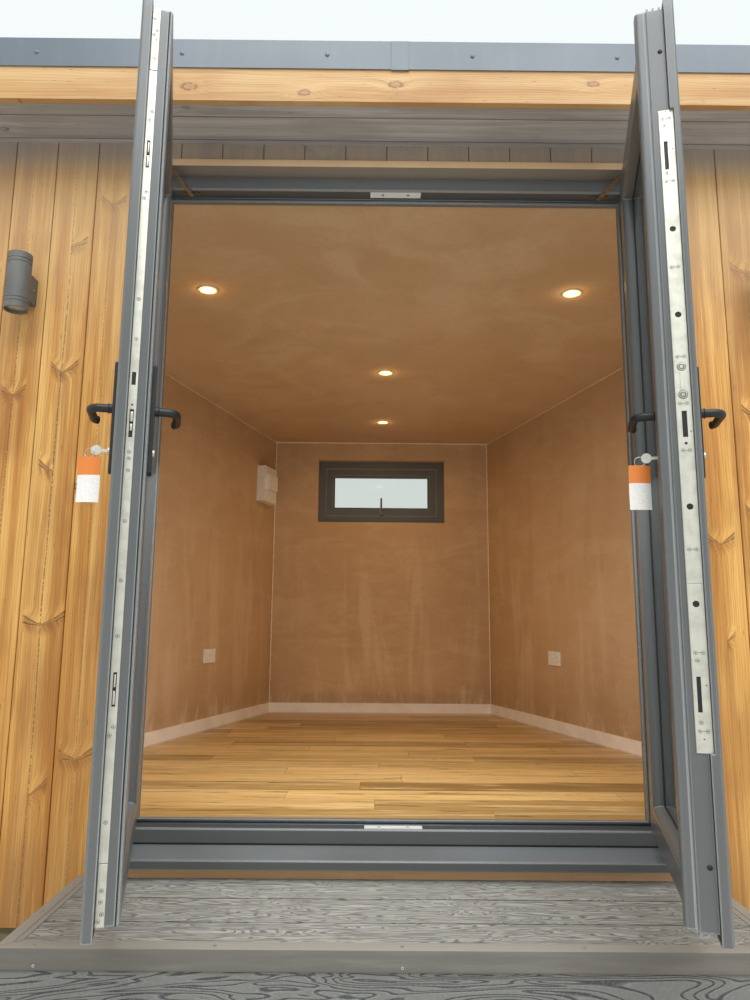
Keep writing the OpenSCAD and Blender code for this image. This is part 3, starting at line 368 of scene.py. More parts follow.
# Cladding. Vertical tongued boards of redwood sawn through the heart, oiled to a honey brown, with eased
# edges and a narrow open joint. The pith runs down each board, and knots spread from it to both edges.
class Shape(Tree):
    """A geometry tree with named inputs, whose result can be taken as a plain mesh."""

    KINDS = {"value": "NodeSocketFloat", "material": "NodeSocketMaterial", "object": "NodeSocketObject"}

    def __init__(self, name, inputs):
        self.group = bpy.data.node_groups.new(name, "GeometryNodeTree")
        super().__init__(self.group)
        face = self.group.interface
        face.new_socket(name="Geometry", in_out="OUTPUT", socket_type="NodeSocketGeometry")
        face.new_socket(name="Geometry", in_out="INPUT", socket_type="NodeSocketGeometry")
        for label, kind in inputs.items():
            face.new_socket(name=label, in_out="INPUT", socket_type=self.KINDS[kind])
        self.entry = self.node("NodeGroupInput", out=None)

    def given(self, label):
        return Wire(self, self.entry.outputs[label])

    def join(self, *parts):
        joined = self.node("GeometryNodeJoinGeometry", out=None)
        for part in parts:
            self.links.new(part.socket, joined.inputs[0])
        return Wire(self, joined.outputs[0])

    def end(self, geometry):
        real = self.node("GeometryNodeRealizeInstances", None, {0: geometry})
        done = self.node("GeometryNodeSetMaterial", None, {"Geometry": real, "Material": self.given("Finish")})
        self.node("NodeGroupOutput", None, {0: done}, None)

    def take(self, name, values, base=None):
        """Runs the tree on a base mesh with these inputs and returns the plain mesh."""
        carrier = add_object(name, base or bpy.data.meshes.new(name))
        modifier = carrier.modifiers.new(name, "NODES")
        modifier.node_group = self.group
        for item in self.group.interface.items_tree:
            if item.in_out == "INPUT" and item.name in values:
                modifier[item.identifier] = values[item.name]
        carrier.update_tag()
        bpy.context.view_layer.update()
        whole = carrier.evaluated_get(bpy.context.evaluated_depsgraph_get())
        mesh = bpy.data.meshes.new_from_object(whole)
        carrier.modifiers.clear()
        bpy.data.objects.remove(carrier)
        return mesh


board_sizes = ("Length", "Cover", "First Joint", "Thickness", "Gap", "Gap Depth", "Eased Edge", "Bottom", "Top",
               "Board Number")
boarding = Shape("board_run", {**dict.fromkeys(board_sizes, "value"), "Finish": "material"})
length, cover, first, thick, gap, gap_depth, ease, bottom, top, number = map(boarding.given, board_sizes)
POINTS_PER_BOARD, MERGE = 6.0, 0.00001


def line_to_points(count, place):
    """Points of a line of that many vertices, each moved to its place."""
    line = boarding.node("GeometryNodeMeshLine", None, {"Count": count})
    line = boarding.node("GeometryNodeSetPosition", None, {"Geometry": line, "Position": place})
    curve = boarding.node("GeometryNodeMeshToCurve", None, {"Mesh": line})
    return boarding.node("GeometryNodeCurveToPoints", {"mode": "EVALUATED"}, {"Curve": curve})


boards = ((length - first) / cover).floor() + 2.0
front_count = boarding.node("FunctionNodeFloatToInt", None, {0: boards * POINTS_PER_BOARD})
index = boarding.node("GeometryNodeInputIndex")
corner = index % POINTS_PER_BOARD
board = (index / POINTS_PER_BOARD).floor() - 1.0
right = corner > 2.5
nearer = corner.least(5.0 - corner)
across = first + (board + right) * cover + (1.0 - right * 2.0) * (gap / 2.0 + (nearer > 1.5) * ease)
depth = (nearer < 0.5) * gap_depth + (nearer > 0.5) * (nearer < 1.5) * ease
front_points = line_to_points(front_count, boarding.together(across.most(0.0).least(length), depth, 0.0))
back_points = line_to_points(2, boarding.together(length - index * length, thick, 0.0))
outline = boarding.node("GeometryNodePointsToCurves", None, {0: boarding.join(back_points, front_points)})
outline = boarding.node("GeometryNodeSetSplineCyclic", None, {"Geometry": outline, "Cyclic": True})
foot = boarding.node("GeometryNodeFillCurve", None, {"Curve": outline})
grown = boarding.node("GeometryNodeExtrudeMesh", {"mode": "FACES"}, {
    "Mesh": foot, "Offset": boarding.together(0.0, 0.0, top - bottom), "Individual": False})
solid = boarding.join(grown, boarding.node("GeometryNodeFlipFaces", None, {0: foot}))
solid = boarding.node("GeometryNodeMergeByDistance", None, {0: solid, "Distance": MERGE})
lifted = boarding.node("GeometryNodeTransform", None, {
    "Geometry": solid, "Translation": boarding.together(0.0, 0.0, bottom)})
own = boarding.node("ShaderNodeVectorMath", {"operation": "ADD"}, {
    0: boarding.node("GeometryNodeInputPosition"), 1: boarding.together(number * cover - first, 0.0, 0.0)})
stored = {"data_type": "FLOAT_VECTOR", "domain": "POINT"}
boarding.end(boarding.node("GeometryNodeStoreNamedAttribute", stored, {
    "Geometry": lifted, "Name": "board", "Value": own}))
YEAR_RING, FULL_TURN = 0.0082, 6.2832


def softwood(t, across, along, board, light, mid, dark, knot_tone, spread=True, pitch=0.42, heart=1.0):
    """Colour, roughness and height of a board of resinous softwood, from places in metres on its face.

    across is measured from the board's centre line, along runs up the grain, and board is its number.
    Knots come one to a pitch: spread ones reach from the pith to both edges, and others are round."""
    luck = t.chance(board, 7.3, 2.1)
    bend = t.cloud_at(board * 3.7, along * 0.9, 0.0, 2.0) - 0.5
    offset = across + bend * 0.03 + (luck[0] - 0.5) * 0.024
    away = abs(offset)
    side = (offset > 0.0) * 1.0
    travel = along / pitch + luck[1] * 9.0
    whorl = travel.floor()
    spot = t.chance(board * 1.7, whorl * 2.3, side * 5.1 + 0.4)
    shared = t.chance(board * 2.9, whorl * 1.1, 0.7)
    here = (travel - whorl) * pitch
    if spread:
        straight = shared[0] * (pitch * 0.4) + pitch * 0.25 + away * (spot[1] * 0.65 + 0.12)
        level = straight + away * away * (spot[0] * 4.0 + 1.0)
        wobble = t.cloud_at(across * 60.0, board, whorl, 1.0) - 0.5
        off = here - level - wobble * 0.006
        thick = away * (spot[2] * 0.10 + 0.055) + 0.0018
        reach = (away + spot[1] * 0.03).fade(0.088 - spot[2] * 0.03, 0.078 - spot[2] * 0.03)
        present = (shared[1] > 0.22) * (spot[0] > 0.2) * reach
    else:
        off = here - shared[0] * (pitch * 0.5) - pitch * 0.25
        aside = offset - (shared[2] - 0.5) * 0.06
        thick = spot[2] * 0.007 + 0.005
        bulge = t.cloud_at(across * 90.0, along * 60.0, board, 2.0) - 0.5
        off = ((off / 1.9) * (off / 1.9) + aside * aside) ** 0.5 + bulge * 0.009
        present = shared[1] > 0.45
    part = off / thick
    knot = abs(part).fade(1.2, 0.7) * present
    ragged = t.cloud_at(across * 70.0 + board, along * 70.0, 0.6, 2.0)
    rim = abs(abs(part) - 1.0).fade(0.42, 0.10) * present * ragged.fade(0.30, 0.46) * (heart * 0.4 + 0.6)
    rings = ((part * 10.0 + ragged * 3.0).sine() * 0.5 + 0.5) * knot * (heart * 0.6 + 0.4)
    near = abs(off).fade(0.045, 0.0) * present
    swirl = t.cloud_at(across * 9.0 + board * 5.0, along * 1.1, 0.3, 3.0, 0.55)
    streak = t.cloud_at(across * 55.0 + board * 7.0 + near * 0.8, along * 1.6, 0.5, 4.0, 0.6)
    year = (((away / YEAR_RING + swirl * 8.0 + near * 2.6) * FULL_TURN).sine() * 0.5 + 0.5) ** 2.2
    fibre = t.cloud_at(across * 600.0, along * 6.0, board, 3.0, 0.6)
    band = t.cloud_at(across * 24.0 + board * 3.0, along * 0.5, 0.9, 3.0, 0.6, 0.3)
    blotch = t.cloud_at(across * 5.0 + board * 9.0, along * 2.3, 0.2, 3.0, 0.55)
    resin = t.cloud_at(across * 330.0, along * 26.0, board * 1.3, 1.0).fade(0.74, 0.80)
    half = t.chance(board, side, 3.9)
    speck = t.cloud_at(across * 90.0, along * 130.0, board, 1.0).fade(0.36, 0.56)
    pith = away.fade(0.0030, 0.0006) * speck * (luck[2] * 0.8 + 0.2) * heart
    above = part.fade(1.0, 2.2) * off.fade(0.055, 0.016) * present
    below = part.fade(-1.0, -1.9) * off.fade(-0.045, -0.010) * present
    colour = t.coats(
        light,
        (band.fade(0.34, 0.66), mid),
        (half[0] * 0.32 + luck[2] * 0.22, dark),
        (blotch.fade(0.45, 0.7, 0, 0.45), dark),
        (streak.fade(0.50, 0.64, 0, 0.36), dark),
        (streak.fade(0.46, 0.36, 0, 0.5), light),
        (year * 0.2, dark),
        (fibre.fade(0.45, 0.8, 0, 0.28), dark),
        (above * (streak.fade(0.6, 0.4) * 0.3 + 0.08), light),
        (below * (streak.fade(0.4, 0.6) * 0.45 + 0.2), dark),
        (pith * 0.7, knot_tone),
        (resin * 0.75, knot_tone),
        (knot * 0.72, dark),
        (rings * 0.28, light),
        (rim * 0.95, knot_tone))
    rough = fibre.between(0.46, 0.62) - knot * 0.12
    height = year * 0.3 + fibre * 0.3 + knot * 0.5 - resin * 0.5 - pith * 0.4
    return colour, rough, height


BOARD_COVER, CLAD_T, JOINT_X = 0.1324, 0.020, -0.031
CLAD_BOTTOM, CLAD_TOP = 0.057, 2.405
PALE_HIGH, RICH_LOW, EAVES_SHADE, SPLASHED = (1.5, 2.35), (1.1, 0.3), (2.27, 2.38), (0.42, 0.06)
BOARD_GAP, BOARD_GAP_DEPTH, BOARD_EASE = 0.0020, 0.007, 0.0020
oiled = Finish("oiled_cladding")
board_place = oiled.node("ShaderNodeAttribute", {"attribute_name": "board"}, out="Vector")
along_wall, into, up = oiled.apart(board_place)
clad_number = (along_wall / BOARD_COVER).floor()
clad_colour, clad_rough, clad_height = softwood(
    oiled, along_wall - (clad_number + 0.5) * BOARD_COVER, up, clad_number,
    "ffcb74", "e09f49", "8f5420", "4a2f16")
splash = up.fade(*SPLASHED) * oiled.cloud((9, 1, 3), 4.0, at=board_place)
clad_colour = oiled.coats(
    clad_colour,
    (up.fade(*PALE_HIGH, 0, 0.5), "d8b88e"),
    (up.fade(*RICH_LOW, 0, 0.22), "d08a35"),
    # painted shade: the boards turn dark grey just under the eaves
    (up.fade(*EAVES_SHADE, 0, 0.75), "96908a"),
    # painted shade: the boards darken with depth into each open joint
    (into.fade(0.0012, 0.005) * 0.5, "5a3a1e"),
    (splash * 0.5, "7a5a3c"))
oiled.surface(clad_colour, clad_rough, oiled.bump(clad_height, 0.0011, 0.8))


def clad(wall, runs, matrix, first_number):
    """One wall's boards: each run is (start, end, bottom, top) in the wall's own plane."""
    name = wall + "_boards"
    whole = bmesh.new()
    for start, end, low, high in runs:
        joint_from = (JOINT_X - start) % BOARD_COVER - BOARD_COVER
        mesh = boarding.take(name, {
            "Length": end - start, "Cover": BOARD_COVER, "First Joint": joint_from, "Thickness": CLAD_T,
            "Gap": BOARD_GAP, "Gap Depth": BOARD_GAP_DEPTH, "Eased Edge": BOARD_EASE,
            "Bottom": low, "Top": high,
            "Board Number": float(first_number + round((start + joint_from - JOINT_X) / BOARD_COVER)),
            "Finish": oiled.material,
        })
        mesh.transform(Matrix.Translation((start, 0, 0)))
        whole.from_mesh(mesh)
    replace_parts(piece(name, whole, oiled.material, "pod", matrix), wall)


def wall_with_hole(half, hole_half, *over_and_under):
    """Full boards at both sides of a hole, and short ones over and under it."""
    full = (CLAD_BOTTOM, CLAD_TOP)
    return [(-half, -hole_half, *full)] + [(-hole_half, hole_half, *part) for part in over_and_under] + [
        (hole_half, half, *full)]


OPENING_TOP, WINDOW_HALF, WINDOW_BOTTOM, WINDOW_TOP = 2.347, 0.490, 1.660, 2.150
clad("front_cladding", wall_with_hole(FRONT_HALF, OPENING_HALF, (OPENING_TOP, CLAD_TOP)),
     Matrix.Translation((0, FRONT, 0)), 0)
clad("back_cladding", wall_with_hole(half_width(BACK, 0.0), WINDOW_HALF, (WINDOW_TOP, CLAD_TOP),
                                     (CLAD_BOTTOM, WINDOW_BOTTOM)),
     Matrix.Translation((0, BACK, 0)) @ turn(180), 60)
WALL_FRONT = FRONT + CLAD_T
side_half = half_width(WALL_FRONT, 0.0)
side_length = -2 * WALL_FRONT / math.cos(math.radians(CLOSING_IN))
slide = CLAD_T * SPLAY
clad("right_cladding", [(slide, side_length, CLAD_BOTTOM, CLAD_TOP)],
     Matrix.Translation((side_half, WALL_FRONT, 0)) @ turn(90 + CLOSING_IN), 120)
clad("left_cladding", [(-side_length, -slide, CLAD_BOTTOM, CLAD_TOP)],
     Matrix.Translation((-side_half, WALL_FRONT, 0)) @ turn(-90 - CLOSING_IN), 180)


# Door reveal. Three planed and oiled boards line the opening in the cladding and stand a little proud of it;
# the head board sits between the two sides. A board of the same wood closes the wall under the cill.
def box(bm, low, high, ease=0.0, steps=1):
    """Box between two corners, with its arrises eased."""
    low, high = Vector(low), Vector(high)
    place = Matrix.Translation((low + high) / 2) @ Matrix.Diagonal((*(high - low), 1.0))
    made = bmesh.ops.create_cube(bm, size=1.0, matrix=place)["verts"]
    if ease:
        edges = list(dict.fromkeys(e for v in made for e in v.link_edges))
        bmesh.ops.bevel(bm, geom=edges, offset=ease, segments=steps, profile=0.5, affect="EDGES")


FRAME_HALF, FRAME_BOTTOM, FRAME_TOP = 0.799, 0.260, 2.322
REVEAL_FRONT, REVEAL_BACK, REVEAL_T, REVEAL_EASE = -1.875, -1.740, 0.025, 0.0022
UNDER_FLOOR, OVER_HEAD, HIGHLIT_EDGE_Y, REVEAL_MIDDLE, THRESHOLD_MIDDLE = 0.2299, 2.3215, -1.8745, -1.8, 0.19
reveal = Finish("oiled_reveal")
low = (reveal.up < UNDER_FLOOR) * 1.0
level = (reveal.up > OVER_HEAD).most(low)
reveal_colour, reveal_rough, reveal_height = softwood(
    reveal, (reveal.y - REVEAL_MIDDLE) * (1.0 - low) + (reveal.up - THRESHOLD_MIDDLE) * low,
    reveal.up * (1.0 - level) + reveal.x * level, (reveal.x > 0.0) * 3.0 + level * 5.0 + 2.0,
    "f8d3a0", "eab87e", "b07c48", "6d4628", False)
reveal_colour = reveal.coats(
    reveal_colour,
    # painted shade: faces that face down, such as the head board's underside, turn darker and grey-brown
    (reveal.apart(reveal.facing())[2].fade(-0.5, -0.9, 0, 0.95), "7a726a"),
    # painted highlight: the head board's front face is paler
    ((level - low) * (reveal.y < HIGHLIT_EDGE_Y) * 0.5, "ffdfb6"),
    # the threshold board under the cill is paler and warmer: partly a warmer tone of its own, partly painted
    # light where it stands in the cill's shade
    (low * 0.55, "ffc894"))
reveal.surface(reveal_colour, reveal_rough, reveal.bump(reveal_height, 0.0008, 0.7))
lining = bmesh.new()
for side in (-1, 1):
    near, far = sorted((side * FRAME_HALF, side * (FRAME_HALF + REVEAL_T)))
    box(lining, (near, REVEAL_FRONT, FLOOR_TOP), (far, REVEAL_BACK, FRAME_TOP + REVEAL_T), REVEAL_EASE, 2)
HEAD_DROP, THRESHOLD_GAP, THRESHOLD_EASE = 0.0006, 0.001, 0.0015
box(lining, (-FRAME_HALF, REVEAL_FRONT, FRAME_TOP),
    (FRAME_HALF, REVEAL_BACK, FRAME_TOP + REVEAL_T - HEAD_DROP), REVEAL_EASE, 2)
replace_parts(piece("door_reveal_boards", lining, reveal.material, "pod"), "door_reveal")
threshold = bmesh.new()
box(threshold, (-OPENING_HALF + THRESHOLD_GAP, FRONT, CLAD_BOTTOM),
    (OPENING_HALF - THRESHOLD_GAP, WALL_FRONT, FLOOR_TOP), THRESHOLD_EASE, 2)
piece("threshold_board", threshold, reveal.material, "pod")


# Roof edge. A planed and oiled fascia board runs round the roof with a boarded soffit behind it, and folded
# sheet metal caps it. The metal is anthracite, satin, with domed fixings and a cover piece over each joint.
FASCIA_MIDDLE, DARK_FOOT, STEEP, ROOM_HALF = 2.458, (2.40, 2.415), 0.7, 0.9
fascia = Finish("oiled_fascia")
sideways = (abs(fascia.apart(fascia.facing())[0]) > STEEP) * 1.0
fascia_colour, fascia_rough, fascia_height = softwood(
    fascia, fascia.up - FASCIA_MIDDLE, fascia.x * (1.0 - sideways) + fascia.y * sideways,
    sideways * 4.0 + (fascia.x > 0.0) * sideways + 11.0,
    "deb982", "d2a76a", "a8743c", "6e4828", False, 0.31, 0.0)
fascia_colour = fascia.blend(fascia.up.fade(*DARK_FOOT, 0.35, 0.0), fascia_colour, "8a5c33")
fascia.surface(fascia_colour, fascia_rough, fascia.bump(fascia_height, 0.0008, 0.7, 0.002))
dress(fascia.material, "fascia")

SOFFIT_BOARD, SOFFIT_GAP = 0.111, 0.0024
soffit = Finish("soffit_boards")
beside = (abs(soffit.y) < BACK) * (abs(soffit.x) > ROOM_HALF) * 1.0
cross_board = soffit.y * (1.0 - beside) + (abs(soffit.x) + soffit.y * SPLAY) * beside
soffit_number = (cross_board / SOFFIT_BOARD).floor()
soffit_middle = cross_board - (soffit_number + 0.5) * SOFFIT_BOARD
soffit_colour, soffit_rough, soffit_height = softwood(
    soffit, soffit_middle, soffit.x * (1.0 - beside) + soffit.y * beside, soffit_number,
    "c0bbb8", "aeaaa7", "8b857f", "6c645c", False, 0.9, 0.5)
soffit_joint = abs(soffit_middle).fade(SOFFIT_BOARD / 2 - SOFFIT_GAP, SOFFIT_BOARD / 2 - SOFFIT_GAP / 2)
soffit.surface(soffit.blend(soffit_joint * 0.6, soffit_colour, "5a5149"), soffit_rough,
               soffit.bump(soffit_height * 0.3 - soffit_joint * 3.0, 0.0012))
dress(soffit.material, "soffit")

coated = Finish("coated_sheet_metal")
peel, buckle = coated.cloud(420.0, 2.0), coated.cloud(2.2, 2.0)
rain = coated.cloud((38.0, 38.0, 2.5), 4.0, 0.6)
coated_colour = coated.coats(
    "616c75", (rain.fade(0.45, 0.75, 0, 0.25), "737c84"), (buckle.fade(0.4, 0.7, 0, 0.3), "58626b"))
coated.surface(coated_colour, buckle.between(0.36, 0.5),
               coated.bump(buckle * 12.0 + peel * 0.06, 0.0008, 0.5, 0.0012),
               {"Coat Weight": 0.3, "Coat Roughness": 0.25})
dress(coated.material, "roof_trim")


def upright_to(base, axis):
    """Carries what stands up at the origin to base, to stand along axis."""
    return Matrix.Translation(base) @ Vector(axis).normalized().to_track_quat("Z", "Y").to_matrix().to_4x4()


def circle(steps):
    return [2 * math.pi * i / steps for i in range(steps)]


def turned(bm, profile, base, axis, steps):
    """Revolves a profile of (radius, height) points about an axis that starts at base."""
    place = upright_to(base, axis)
    rings = []
    for radius, height in profile:
        around = circle(steps) if radius else [0.0]
        spots = [Vector((radius * math.cos(a), radius * math.sin(a), height)) for a in around]
        rings.append([bm.verts.new(place @ spot) for spot in spots])
    for low, high in zip(rings, rings[1:]):
        for i in range(steps):
            j = (i + 1) % steps
            face = [low[i % len(low)], low[j % len(low)], high[j % len(high)], high[i % len(high)]]
            face = [v for k, v in enumerate(face) if v not in face[:k]]
            if len(face) > 2:
                bm.faces.new(face)
    for ring in (rings[0], rings[-1]):
        if len(ring) > 1:
            bm.faces.new(ring)


# The fixing tree sets one head on each point, turned to face the way that the point's attribute says.
fixing = Shape("set_fixings", {"Head": "object", "Finish": "material"})
head = fixing.node(
    "GeometryNodeObjectInfo", {"transform_space": "ORIGINAL"}, {0: fixing.given("Head")}, "Geometry")
outward = fixing.node("GeometryNodeInputNamedAttribute", {"data_type": "FLOAT_VECTOR"}, {"Name": "facing"}, 0)
turn_out = fixing.node("FunctionNodeAlignRotationToVector", {"axis": "Z"}, {"Vector": outward})
fixing.end(fixing.node("GeometryNodeInstanceOnPoints", None, {
    "Points": fixing.given("Geometry"), "Instance": head, "Rotation": turn_out}))
HEAD_STEPS, HEAD_SMOOTH = 14, 40.0


def head_mesh(name, profile):
    """A fixing's head, drawn standing up from its seat."""
    bm = bmesh.new()
    turned(bm, profile, (0, 0, 0), (0, 0, 1), HEAD_STEPS)
    face_out(bm)
    mesh = to_mesh(name, bm)
    mesh.shade_smooth()
    mesh.set_sharp_from_angle(angle=math.radians(HEAD_SMOOTH))
    return bpy.data.objects.new(name, mesh)


def fixings(name, head, points, material, body, place=None):
    """One head at each (position, facing) pair, joined in a single piece."""
    base = bpy.data.meshes.new(name + "_points")
    base.from_pydata([p for p, _ in points], [], [])
    facing = base.attributes.new("facing", "FLOAT_VECTOR", "POINT")
    facing.data.foreach_set("vector", [v for _, f in points for v in f])
    bm = bmesh.new()
    bm.from_mesh(fixing.take(name, {"Head": head, "Finish": material}, base))
    piece(name, bm, material, body, place, HEAD_SMOOTH)


TRIM_FRONT, TRIM_HALF, TRIM_BOTTOM, TRIM_TOP, TRIM_FIXING_Z = -2.075, 2.0827, 2.511, 2.605, 2.557
FRONT_FIRST, FRONT_STEP, SIDE_FIRST, SIDE_STEP = 0.22, 0.434, -1.86, 0.48
dome_head = head_mesh("domed_fixing", [
    (0.0, -0.0002), (0.0062, -0.0002), (0.0065, 0.0005), (0.0056, 0.0021), (0.0034, 0.0031), (0.0, 0.0035)])
trim_points = [((FRONT_FIRST + FRONT_STEP * k, TRIM_FRONT, TRIM_FIXING_Z), (0, -1, 0)) for k in range(-5, 4)]
side_turn = math.radians(CLOSING_IN)
for side in (-1, 1):
    for y in (SIDE_FIRST + SIDE_STEP * k for k in range(8)):
        trim_points.append(((side * (TRIM_HALF - (y - TRIM_FRONT) * SPLAY), y, TRIM_FIXING_Z),
                            (side * math.cos(side_turn), math.sin(side_turn), 0)))
fixings("trim_fixings", dome_head, trim_points, coated.material, "pod")
COVER_LEFT, COVER_RIGHT, COVER_EASE = -0.0237, 0.0304, 0.0005
PROUD, BEHIND, LIP, BELOW_TOP = 0.0018, 0.002, 0.0035, 0.0002
STRAP_IN, STRAP_OUT, STRAP_HALF = 0.002, 0.0013, 0.027
strap_z = (TRIM_BOTTOM - LIP, TRIM_TOP - BELOW_TOP)
covers = bmesh.new()
box(covers, (COVER_LEFT, TRIM_FRONT - PROUD, strap_z[0]), (COVER_RIGHT, TRIM_FRONT + BEHIND, strap_z[1]),
    COVER_EASE)
for side in (-1, 1):
    strap = bmesh.new()
    box(strap, (-STRAP_IN, -STRAP_HALF, strap_z[0]), (STRAP_OUT, STRAP_HALF, strap_z[1]), COVER_EASE)
    hip = Matrix.Translation((TRIM_HALF + TRIM_FRONT * SPLAY, 0.0, 0)) @ turn(CLOSING_IN)
    bmesh.ops.transform(strap, matrix=Matrix.Scale(side, 4, (1, 0, 0)) @ hip, verts=strap.verts)
    covers.from_mesh(to_mesh("strap", strap))
piece("trim_joint_covers", covers, coated.material, "pod")


# Roof covering. Black rubber membrane lies inside the metal edge in two strips, one lapped over the other;
# water has left marks on it, and dust gathers along the seam.
SEAM_X, DUST_X = 0.040, (0.20, 0.05)
membrane = Finish("roof_membrane")
pebble, puddle = membrane.cloud(300.0, 2.0), membrane.cloud(1.6, 4.0)
past_seam = membrane.x.fade(SEAM_X, SEAM_X + 0.006, 0, 0.3) * membrane.x.fade(*DUST_X)
membrane_colour = membrane.coats(
    "2c2e30", (puddle.fade(0.42, 0.66, 0, 0.5), "464744"),
    (puddle.fade(0.50, 0.53) * puddle.fade(0.58, 0.54) * 0.35, "6b6a64"),
    (past_seam, "5d5c56"),
    (abs(membrane.x - SEAM_X).fade(0.007, 0.002) * 0.7, "15171a"))
lap = membrane.x.fade(SEAM_X - 0.002, SEAM_X + 0.002)
membrane.surface(membrane_colour, puddle.fade(0.35, 0.65, 0.6, 0.82),
                 membrane.bump(pebble * 0.1 - lap + puddle * 2.0, 0.0012, 0.7))
dress(membrane.material, "roof_covering")
dress(mottled("kerb_timber", (2, 2, 90), ("b08a5a", "8f6b42"), (0.7, 0.85), 0.001, shade=None, detail=4.0),
      "roof_panel")


# Door and window frames. Plastic profiles under a foil of dark blue-grey with a very fine grain, mitred and
# welded at the corners. The foil is satin, and lighter and bluer in patches on what faces up. Its colour
# carries a painted highlight along the arrises, painted light high on the door frame and leaves, and
# painted shade in the rebates of the sill and the head and along the joint under the sill.
REBATE_Y, REBATE_HALF, SILL_REBATE, HEAD_REBATE = -1.802, 0.759, (0.3010, 0.3148), (2.2785, 2.2825)
FRAME_Y, SILL_DEEP, SILL_GAP, ARRIS = -1.810, 0.004, (0.2590, 0.2636), 0.005
LIT_HEAD = (2.235, 2.31)
foil = Finish("anthracite_foil")
facing = foil.facing()
emboss, smear = foil.cloud((900.0, 900.0, 60.0), 2.0), foil.cloud(3.0, 2.0, 0.5)
rounded = foil.soft_edge(ARRIS)
flat_share = foil.node("ShaderNodeVectorMath", {"operation": "DOT_PRODUCT"}, {0: rounded, 1: facing}, "Value")


def within(value, span):
    return (value > span[0]) * (value < span[1])


rebate_shade = (foil.y > REBATE_Y) * (abs(foil.x) < REBATE_HALF) * (
    within(foil.up, SILL_REBATE) + within(foil.up, HEAD_REBATE))
sill_joint_shade = (abs(foil.y - FRAME_Y) < SILL_DEEP) * within(foil.up, SILL_GAP) * (abs(foil.x) < FRAME_HALF)
foil_colour = foil.coats(
    "525453", (smear.between(0, 0.3), "5c5e5d"),
    (foil.apart(facing)[2].fade(0.5, 0.95, 0, 0.35) * smear.between(0.5, 1.0), "8a9297"),
    # painted light: the foil turns paler toward the top of the door frame and leaves
    (foil.up.fade(*LIT_HEAD, 0, 0.55), "8b8d8c"),
    # painted highlight along the arrises
    (flat_share.fade(0.995, 0.90, 0, 0.7), "c0c5c4"),
    # painted shade: the rebates of the sill and the head are darker
    (rebate_shade * 0.9, "404345"),
    # painted shade: a near-black line along the joint between the sill and the cill
    (sill_joint_shade, "141516"))
foil.surface(foil_colour, smear.between(0.34, 0.42), foil.bump(emboss, 0.00012, 0.5, rounded),
             {"Coat Weight": rebate_shade * -0.25 + 0.3, "Coat Roughness": 0.24, "Specular IOR Level": 0.6})
dress(foil.material, "door_frame_left", "door_frame_right", "door_frame_head", "door_frame_sill", "door_cill",
      "left_leaf_frame", "left_leaf_beads", "right_leaf_frame", "right_leaf_beads", "right_meeting_stile",
      "window_frame", "window_sash")


# Seals. Black rubber, pushed into grooves round the frame and the leaves, and wedged between the glass and
# the profiles; they run unbroken round each corner.
def mitred(bm, section, x0, x1, z0, z1):
    """Carries a section of (inset, y) points round a rectangle, mitred at its corners."""
    loops = []
    for inset, y in section:
        left, right, low, high = x0 + inset, x1 - inset, z0 + inset, z1 - inset
        corners = (left, y, low), (right, y, low), (right, y, high), (left, y, high)
        loops.append([bm.verts.new(spot) for spot in corners])
    weave(bm, loops, loop=True)


PIN = Vector((0.786, -1.8215, 0))
OPEN = {"left": 75.2, "right": 75.8}
LEAF_FRONT, LEAF_BACK = -1.833, -1.765
LEAF = (0.003, 0.766, 0.293, 2.289)
GLASS_FRONT, GLASS_BACK = -1.820, -1.796
UPSTAND = -1.762
rubber = mottled("black_rubber_seal", 240.0, ("1c1d1e", "2b2c2c"), (0.55, 0.75), 0.0003, shade=(0.4, 0.7),
                 detail=2.0)


def hung(side):
    """Carries what is drawn on the closed right leaf to where that side's open leaf holds it."""
    move = Matrix.Translation(PIN) @ turn(OPEN[side]) @ Matrix.Translation(-PIN)
    return Matrix.Scale(-1, 4, (1, 0, 0)) @ move if side == "left" else move


def hang(side, name, bm, material, part="leaf"):
    """A piece that is drawn on the closed right leaf, hung on one side's leaf or on that leaf's part."""
    return piece(f"{side}_{name}", bm, material, f"{side}_{part}", hung(side))


def bulb(inset, y, wide, proud, deep=0.002):
    """Section of a seal: a foot in its groove and a rounded face standing proud of it, toward -Y."""
    return [(inset, y + deep), (inset, y), (inset + wide * 0.2, y - proud * 0.8),
            (inset + wide * 0.5, y - proud), (inset + wide * 0.8, y - proud * 0.8), (inset + wide, y),
            (inset + wide, y + deep)]


frame_seal = bmesh.new()
mitred(frame_seal, bulb(inset=0.0452, y=UPSTAND + 0.001, wide=0.0026, proud=0.0012),
       -FRAME_HALF, FRAME_HALF, FRAME_BOTTOM, FRAME_TOP)
piece("door_frame_seal", frame_seal, rubber, "pod")
indoor = bulb(inset=0.1030, y=GLASS_BACK - 0.0002, wide=0.0055, proud=0.0022)
flange = [(0.0070, -0.0007), (0.0085, -0.0004), (0.0115, -0.0002), (0.0150, -0.0007)]
edge = [(0.0208, -0.0087), (0.0202, -0.0075), (0.0208, -0.0063), (0.0235, -0.0063), (0.0235, -0.0087)]
LEAF_SEALS = (
    bulb(inset=0.1035, y=GLASS_FRONT - 0.0002, wide=0.0055, proud=0.0022),
    [(a, 2 * GLASS_BACK - b) for a, b in indoor],
    bulb(inset=0.1100, y=GLASS_FRONT + 0.006, wide=0.0001, proud=0.0, deep=0.012),
    [(a, FRAME_Y + b) for a, b in flange],
    [(a, LEAF_BACK + b) for a, b in edge])
for side in ("left", "right"):
    seals = bmesh.new()
    for section in LEAF_SEALS:
        mitred(seals, section, *LEAF)
    hang(side, "leaf_seals", seals, rubber)


